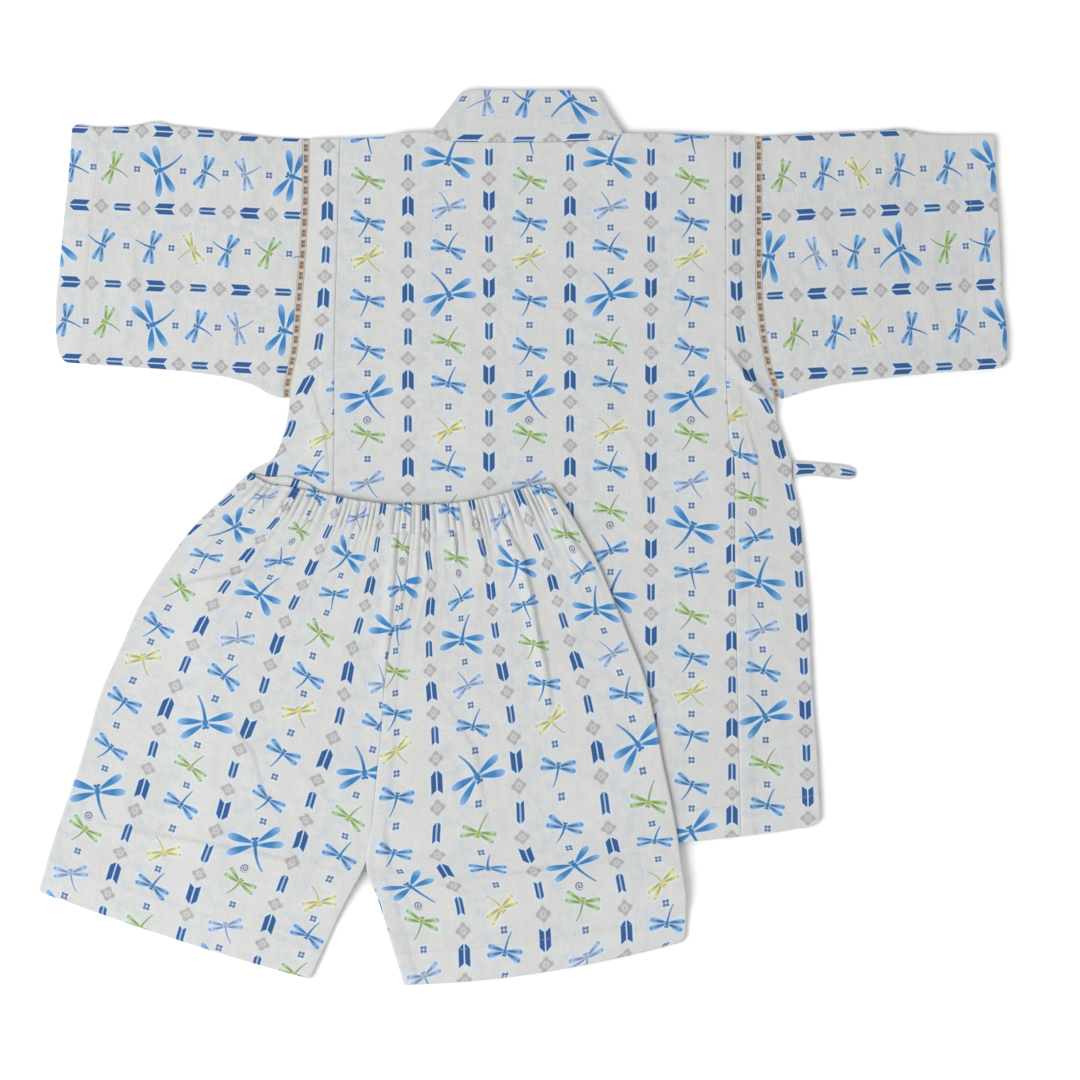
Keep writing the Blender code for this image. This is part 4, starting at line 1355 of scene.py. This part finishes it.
def cotton():
    """White slub cotton with its print and a painted shade of its rumples, made once."""
    name = "print_on_cotton"
    made = bpy.data.materials.get(name)
    if made:
        return made
    material = bpy.data.materials.new(name)
    nodes = Nodes(material)
    column, down = nodes.map_parts("print")
    place = down * COLUMN_PITCH
    across_mm, down_mm = column * PITCH_MM, down * PITCH_MM
    weft = nodes.noise(across_mm * 0.07, down_mm * 1.5, 1.0)
    warp = nodes.noise(across_mm * 1.5, down_mm * 0.07, 1.0)
    slub = nodes.noise(across_mm * 0.09, down_mm * 0.7, 1.0, 3.0, 0.6)
    cloud = nodes.noise(across_mm, down_mm, 0.035)
    rumple_relief_and_shade = nodes.noise(across_mm * 0.8, down_mm, 0.11)
    threads = weft * 0.5 + warp * 0.5
    ground = ink("ground")
    above_stitch, along_stitch = nodes.map_parts("stitch")
    doubled = (-above_stitch).inside(1.5)
    # Painted shade: the rumple noise, which also raises the bump, lightens and darkens the tone as the
    # shading of the rumples would.
    shade = threads * 0.22 + cloud * 0.05 + rumple_relief_and_shade * 0.08 + slub * 0.06 + doubled * 0.025 + 0.795
    ghost_band = (0.2 - abs(nodes.math("FRACT", column + 0.27) - 0.5)).inside(7.0)
    ghost = ghost_band * (nodes.noise(across_mm, down_mm, 0.16, 2.0, 0.6) - 0.56).inside(7.0) * 0.28
    colour = nodes.blend(ghost, ground, ink("ghost"))
    for draw in (draw_columns, draw_marks, draw_dragonflies):
        colour = draw(nodes, colour, column, place)
    wear = (nodes.noise(across_mm, down_mm, 1.3, 3.0, 0.7) - 0.42) * 0.2
    colour = nodes.blend(wear.clamped(), colour, ground)
    colour = nodes.tinted(colour, (shade, shade, shade * 0.97 + 0.025))
    from_stitch = abs(above_stitch)
    dash = nodes.math("FRACT", along_stitch / 2.6)
    in_thread = (0.34 - from_stitch).inside(4.0) * (0.36 - abs(dash - 0.42)).inside(12.0)
    colour = nodes.blend(in_thread * 0.25, colour, ink("thread"))
    groove = (1.0 - from_stitch).inside(1.5)
    weave = nodes.math("SINE", across_mm * 7.4) * nodes.math("SINE", down_mm * 7.4)
    height = threads * 1.1 + rumple_relief_and_shade * 4.5 + weave * 0.18 - groove * 0.5 + in_thread * 0.9
    finish_surface(nodes, colour, height, slub * 0.12 + 0.78, 0.04)
    return material


def lace_material():
    """Beige cotton lace whose openings hold a browner net, painted as the shadow in the holes with the layers
    seen through them, made once.
    """
    name = "ladder_lace"
    made = bpy.data.materials.get(name)
    if made:
        return made
    material = bpy.data.materials.new(name)
    nodes = Nodes(material)
    settings = bpy.context.scene.jinbei_lace
    side, along = nodes.map_parts("print")
    phase = nodes.math("FRACT", along)
    half_rung = settings.rung_share * 0.5
    on_rung = (half_rung - abs(phase - half_rung)).inside(30.0)
    in_middle = (0.3 - abs(side - 0.5)).inside(14.0)
    speckle = nodes.noise(side * 4.0, along * 6.4, 2.2, 3.0, 0.7)
    thread = (0.035 - abs(phase - 0.5 - half_rung)).inside(30.0)
    # Painted shadow: the openings between rungs and rails take a browner colour for the shade in the holes
    # and the layers behind them.
    dark = (1.0 - on_rung) * in_middle * (1.0 - thread * 0.6) * (speckle * 0.6 + 0.6)
    colour = nodes.blend(dark, (*settings.colour, 1.0), (*settings.opening_shadow_colour, 1.0))
    colour = nodes.tinted(colour, (speckle * 0.3 + 0.85,) * 3)
    twist = nodes.math("SINE", along * 52.0 + side * 9.0)
    finish_surface(nodes, colour, twist * 0.5 + speckle, speckle * 0.15 + 0.7, 0.1)
    return material


def floor_material():
    """The matt pale floor."""
    material = bpy.data.materials.new("pale_floor")
    nodes = Nodes(material)
    place = nodes.add("TexCoord").outputs["Object"]
    noise = nodes.add("TexNoise")
    nodes.feed(noise.inputs["Vector"], place)
    noise.inputs["Scale"].default_value = 40.0
    shader = nodes.add("BsdfPrincipled")
    shader.inputs["Base Color"].default_value = (*bpy.context.scene.jinbei_stage.floor, 1.0)
    shader.inputs["Specular IOR Level"].default_value = 0.1
    nodes.feed(shader.inputs["Roughness"], Value(nodes, noise.outputs["Fac"]) * 0.1 + 0.85)
    output = nodes.add("OutputMaterial")
    nodes.feed(output.inputs["Surface"], shader.outputs[0])
    return material


def screen_colour(red, green, blue):
    """A colour read off a screen, as a material takes it."""
    parts = [value / 255.0 for value in (red, green, blue)]
    return tuple(value / 12.92 if value <= 0.04045 else ((value + 0.055) / 1.055) ** 2.4 for value in parts)


def length_setting(name, description, default, low, high):
    """A setting in metres, shown as a length."""
    return FloatProperty(
        name=name, description=description, default=default, min=low, max=high, precision=5, unit="LENGTH"
    )


def colour_setting(name, description, red, green, blue):
    """A colour setting, given as it shows on a screen."""
    return FloatVectorProperty(
        name=name,
        description=description,
        default=screen_colour(red, green, blue),
        min=0.0,
        max=1.0,
        size=3,
        subtype="COLOR",
    )


class JinbeiCloth(bpy.types.PropertyGroup):
    """Sizes of the cloth and of how it is sewn."""

    thickness: length_setting("Thickness", "Thickness of the sewn cloth", 0.00095, 0.0003, 0.001)
    cell: length_setting("Cell", "Size of the mesh's cells on the visible cloth", 0.0024, 0.0012, 0.008)
    swell: length_setting("Swell", "Height of the low swells that all layers share", 0.0013, 0.0, 0.003)
    crease: FloatProperty(
        name="Crease", description="Strength of the creases", default=1.25, min=0.0, max=1.5, subtype="FACTOR"
    )
    waist_gathers: IntProperty(
        name="Waist gathers", description="Gathers across the front of the waist", default=46, min=8, max=60
    )
    gather: length_setting("Gather", "Height of the fullest gathers", 0.002, 0.0, 0.003)
    jacket_hem: length_setting("Jacket hem", "Depth of the jacket's hem", 0.02, 0.005, 0.05)
    shorts_hem: length_setting("Shorts hem", "Depth of the hem of the shorts", 0.022, 0.005, 0.05)
    cuff_hem: length_setting("Cuff hem", "Depth of the hem of the sleeves", 0.018, 0.005, 0.05)


class JinbeiPrint(bpy.types.PropertyGroup):
    """Colours of the printed cotton."""

    ground: colour_setting("Ground", "The unprinted cloth", 196, 197, 196)
    arrow: colour_setting("Arrow", "Arrow feathers and small wells", 10, 69, 127)
    diamond: colour_setting("Diamond", "Four-petalled diamonds", 157, 155, 158)
    halo: colour_setting("Halo", "Soft edge round each motif", 188, 212, 234)
    blue: colour_setting("Blue", "Blue dragonflies", 60, 123, 177)
    green: colour_setting("Green", "Green dragonflies", 163, 178, 62)
    yellow: colour_setting("Yellow", "Yellow dragonflies", 219, 201, 100)
    violet: colour_setting("Violet", "Violet dragonflies", 152, 163, 190)
    ghost: colour_setting("Ghost", "The layer below, faintly seen through the cloth", 166, 181, 200)
    shade: colour_setting("Shade", "What darkens a dragonfly's eyes and wing spots", 140, 156, 172)
    thread: colour_setting("Thread", "Sewing thread", 212, 212, 210)


class JinbeiLace(bpy.types.PropertyGroup):
    """Sizes and colours of the ladder lace."""

    width: length_setting("Width", "Width of the lace that shows", 0.004, 0.002, 0.01)
    repeat: length_setting("Repeat", "From one rung to the next", 0.0064, 0.003, 0.02)
    rung_share: FloatProperty(
        name="Rung",
        description="Part of each repeat that is rung",
        default=0.34,
        min=0.1,
        max=0.8,
        subtype="FACTOR",
    )
    colour: colour_setting("Colour", "The rails and rungs of the lace", 197, 184, 171)
    # Painted shadow: the browner colour of the openings stands for the shade in the holes and the layers
    # behind them.
    opening_shadow_colour: colour_setting("Net colour", "The net in the openings of the lace", 122, 104, 92)


class JinbeiStage(bpy.types.PropertyGroup):
    """The floor, light and camera."""

    floor: FloatVectorProperty(
        name="Floor", description="Colour of the floor", default=(0.97, 0.97, 0.97), size=3, subtype="COLOR"
    )
    floor_size: length_setting("Floor size", "Width of the floor", 8.0, 1.0, 20.0)
    key_power: FloatProperty(
        name="Key light", description="Power of the key light", default=43.5, unit="POWER"
    )
    sky: FloatProperty(name="Sky", description="Strength of the light from all round", default=0.715, min=0.0)
    view_width: length_setting("View width", "Width of floor that the camera sees", 0.648, 0.1, 3.0)
    lens: FloatProperty(name="Lens", description="Length of the camera's lens, in millimetres", default=200.0)


class JINBEI_OT_stage(bpy.types.Operator):
    """Make the floor, the light and the camera straight above the set"""

    bl_idname = "jinbei.stage"
    bl_label = "Stage"

    def execute(self, context):
        settings = context.scene.jinbei_stage
        half = 0.5 * settings.floor_size
        mesh = bpy.data.meshes.new("floor")
        corners = ((-half, -half), (half, -half), (half, half), (-half, half))
        mesh.from_pydata([(x, y, -0.0004) for x, y in corners], [], [(0, 1, 2, 3)])
        mesh.materials.append(floor_material())
        floor = bpy.data.objects.new("floor", mesh)
        context.collection.objects.link(floor)

        world = bpy.data.worlds.new("studio")
        world.use_nodes = True
        background = world.node_tree.nodes["Background"]
        background.inputs["Color"].default_value = (1.0, 1.0, 1.0, 1.0)
        background.inputs["Strength"].default_value = settings.sky
        context.scene.world = world

        key = bpy.data.lights.new("key", "AREA")
        key.size = 1.6
        key.energy = settings.key_power
        lamp = bpy.data.objects.new("key", key)
        lamp.location = (-1.5, -0.6, 1.8)
        lamp.rotation_euler = (-Vector(lamp.location)).to_track_quat("-Z", "Y").to_euler()
        context.collection.objects.link(lamp)

        camera = bpy.data.cameras.new("camera")
        camera.lens = settings.lens
        camera.sensor_width = 36.0
        eye = bpy.data.objects.new("camera", camera)
        eye.location = (0.0102, -0.0012, settings.view_width * settings.lens / camera.sensor_width + 0.004)
        context.collection.objects.link(eye)
        context.scene.camera = eye
        context.scene.view_settings.view_transform = "Standard"
        return {"FINISHED"}


class JINBEI_OT_back(bpy.types.Operator):
    """Make the jacket's centre back and its two side panels"""

    bl_idname = "jinbei.back"
    bl_label = "Back and sides"

    def execute(self, context):
        cell = context.scene.jinbei_cloth.cell / MM
        half = 0.5 * SEAM_LINE

        def slope(first, last):
            def height(across, down, part):
                return mix(first, last, part) + crease_rise(JACKET_CREASES, across, down)

            return height

        back = body_panel(
            "back_cloth",
            lambda down: (read(BODY, down, 2) + half, read(BODY, down, 3) - half),
            cell * 0.8,
            slope(2.0 * PITCH, 2.0 * PITCH),
            (),
            plain_print(1.506, -39.0),
        )
        left = body_panel(
            "side_left_cloth",
            lambda down: (read(BODY, down, 1), read(BODY, down, 2) - half),
            cell * 0.5,
            slope(PITCH, 2.0 * PITCH),
            (("end", SEAM_TURNING),),
            side_print("left"),
        )
        right = body_panel(
            "side_right_cloth",
            lambda down: (read(BODY, down, 3) + half, read(BODY, down, 4)),
            cell * 0.5,
            slope(2.0 * PITCH, PITCH),
            (("start", SEAM_TURNING),),
            side_print("right"),
        )
        sheet_of("back")
        sheet_of("side_left", area=15600.0)
        sheet_of("side_right", area=12600.0)
        return {"FINISHED"}


class JINBEI_OT_fronts(bpy.types.Operator):
    """Make the two wrap fronts that lie under the back"""

    bl_idname = "jinbei.fronts"
    bl_label = "Fronts"

    def execute(self, context):
        cell = context.scene.jinbei_cloth.cell / MM * 1.6

        def inner_height(across, down, part):
            return PITCH * (1.0 - clamp((across - FRONT_RAMP_START) / (FRONT_RAMP_END - FRONT_RAMP_START)))

        outer = body_panel(
            "front_left_cloth",
            lambda down: (read(BODY, down, 1), front_edge(down)),
            cell,
            lambda across, down, part: np.zeros(across.shape),
            (),
            plain_print(0.5, -20.0),
        )
        inner = body_panel(
            "front_right_cloth",
            lambda down: (-front_edge(down), read(BODY, down, 4)),
            cell,
            inner_height,
            (),
            plain_print(0.5, -20.0),
        )
        sheet_of("front_left", area=72000.0)
        sheet_of("front_right", area=72000.0)
        return {"FINISHED"}


class JINBEI_OT_collar(bpy.types.Operator):
    """Make the collar band"""

    bl_idname = "jinbei.collar"
    bl_label = "Collar"

    def execute(self, context):
        make_collar()
        return {"FINISHED"}


class JINBEI_OT_sleeves(bpy.types.Operator):
    """Make both sleeves and the ladder lace round their armholes"""

    bl_idname = "jinbei.sleeves"
    bl_label = "Sleeves and laces"

    def execute(self, context):
        for side in TURN:
            make_sleeve(side, make_lace(side))
        return {"FINISHED"}


class JINBEI_OT_ties(bpy.types.Operator):
    """Make the tie at the side seam and its partner on the outer front"""

    bl_idname = "jinbei.ties"
    bl_label = "Ties"

    def execute(self, context):
        make_tie("tie_side", float(read(BODY, TIE_DOWN, 4)) + SEAM_LINE, TIE_DOWN)
        edge = float(read(FRONT_SEAM, TIE_DOWN + 0.5 * TIE_WIDTH)) + BAND_WIDTH
        make_tie("tie_front", edge + SEAM_LINE, TIE_DOWN)
        return {"FINISHED"}


class JINBEI_OT_legs(bpy.types.Operator):
    """Make both legs of the shorts"""

    bl_idname = "jinbei.legs"
    bl_label = "Legs"

    def execute(self, context):
        for side in TURN:
            make_leg(side)
        return {"FINISHED"}


class JINBEI_OT_waistband(bpy.types.Operator):
    """Make the gathered casing round the waist"""

    bl_idname = "jinbei.waistband"
    bl_label = "Waistband"

    def execute(self, context):
        make_waistband()
        return {"FINISHED"}


OPERATORS = (
    JINBEI_OT_stage,
    JINBEI_OT_fronts,
    JINBEI_OT_back,
    JINBEI_OT_collar,
    JINBEI_OT_sleeves,
    JINBEI_OT_ties,
    JINBEI_OT_legs,
    JINBEI_OT_waistband,
)
SETTINGS = {
    "jinbei_cloth": JinbeiCloth,
    "jinbei_print": JinbeiPrint,
    "jinbei_lace": JinbeiLace,
    "jinbei_stage": JinbeiStage,
}


class JINBEI_PT_panel(bpy.types.Panel):
    """The settings, and a button for each group of pieces"""

    bl_idname = "JINBEI_PT_panel"
    bl_label = "Jinbei set"
    bl_space_type = "VIEW_3D"
    bl_region_type = "UI"
    bl_category = "Jinbei"

    def draw(self, context):
        for name in SETTINGS:
            box = self.layout.box()
            settings = getattr(context.scene, name)
            for setting in settings.bl_rna.properties:
                if setting.identifier not in ("rna_type", "name"):
                    box.prop(settings, setting.identifier)
        for operator in OPERATORS:
            self.layout.operator(operator.bl_idname)


def register():
    """Registers the settings, the operators and the panel."""
    for name, group in SETTINGS.items():
        bpy.utils.register_class(group)
        setattr(bpy.types.Scene, name, PointerProperty(type=group))
    for operator in OPERATORS:
        bpy.utils.register_class(operator)
    bpy.utils.register_class(JINBEI_PT_panel)


def unregister():
    """Takes them out again."""
    bpy.utils.unregister_class(JINBEI_PT_panel)
    for operator in reversed(OPERATORS):
        bpy.utils.unregister_class(operator)
    for name, group in reversed(SETTINGS.items()):
        delattr(bpy.types.Scene, name)
        bpy.utils.unregister_class(group)


def main():
    """Makes the whole set, piece by piece."""
    register()
    bpy.ops.jinbei.stage()
    bpy.ops.jinbei.fronts()
    bpy.ops.jinbei.back()
    bpy.ops.jinbei.collar()
    bpy.ops.jinbei.sleeves()
    bpy.ops.jinbei.ties()
    bpy.ops.jinbei.legs()
    bpy.ops.jinbei.waistband()


if __name__ == "__main__":
    main()
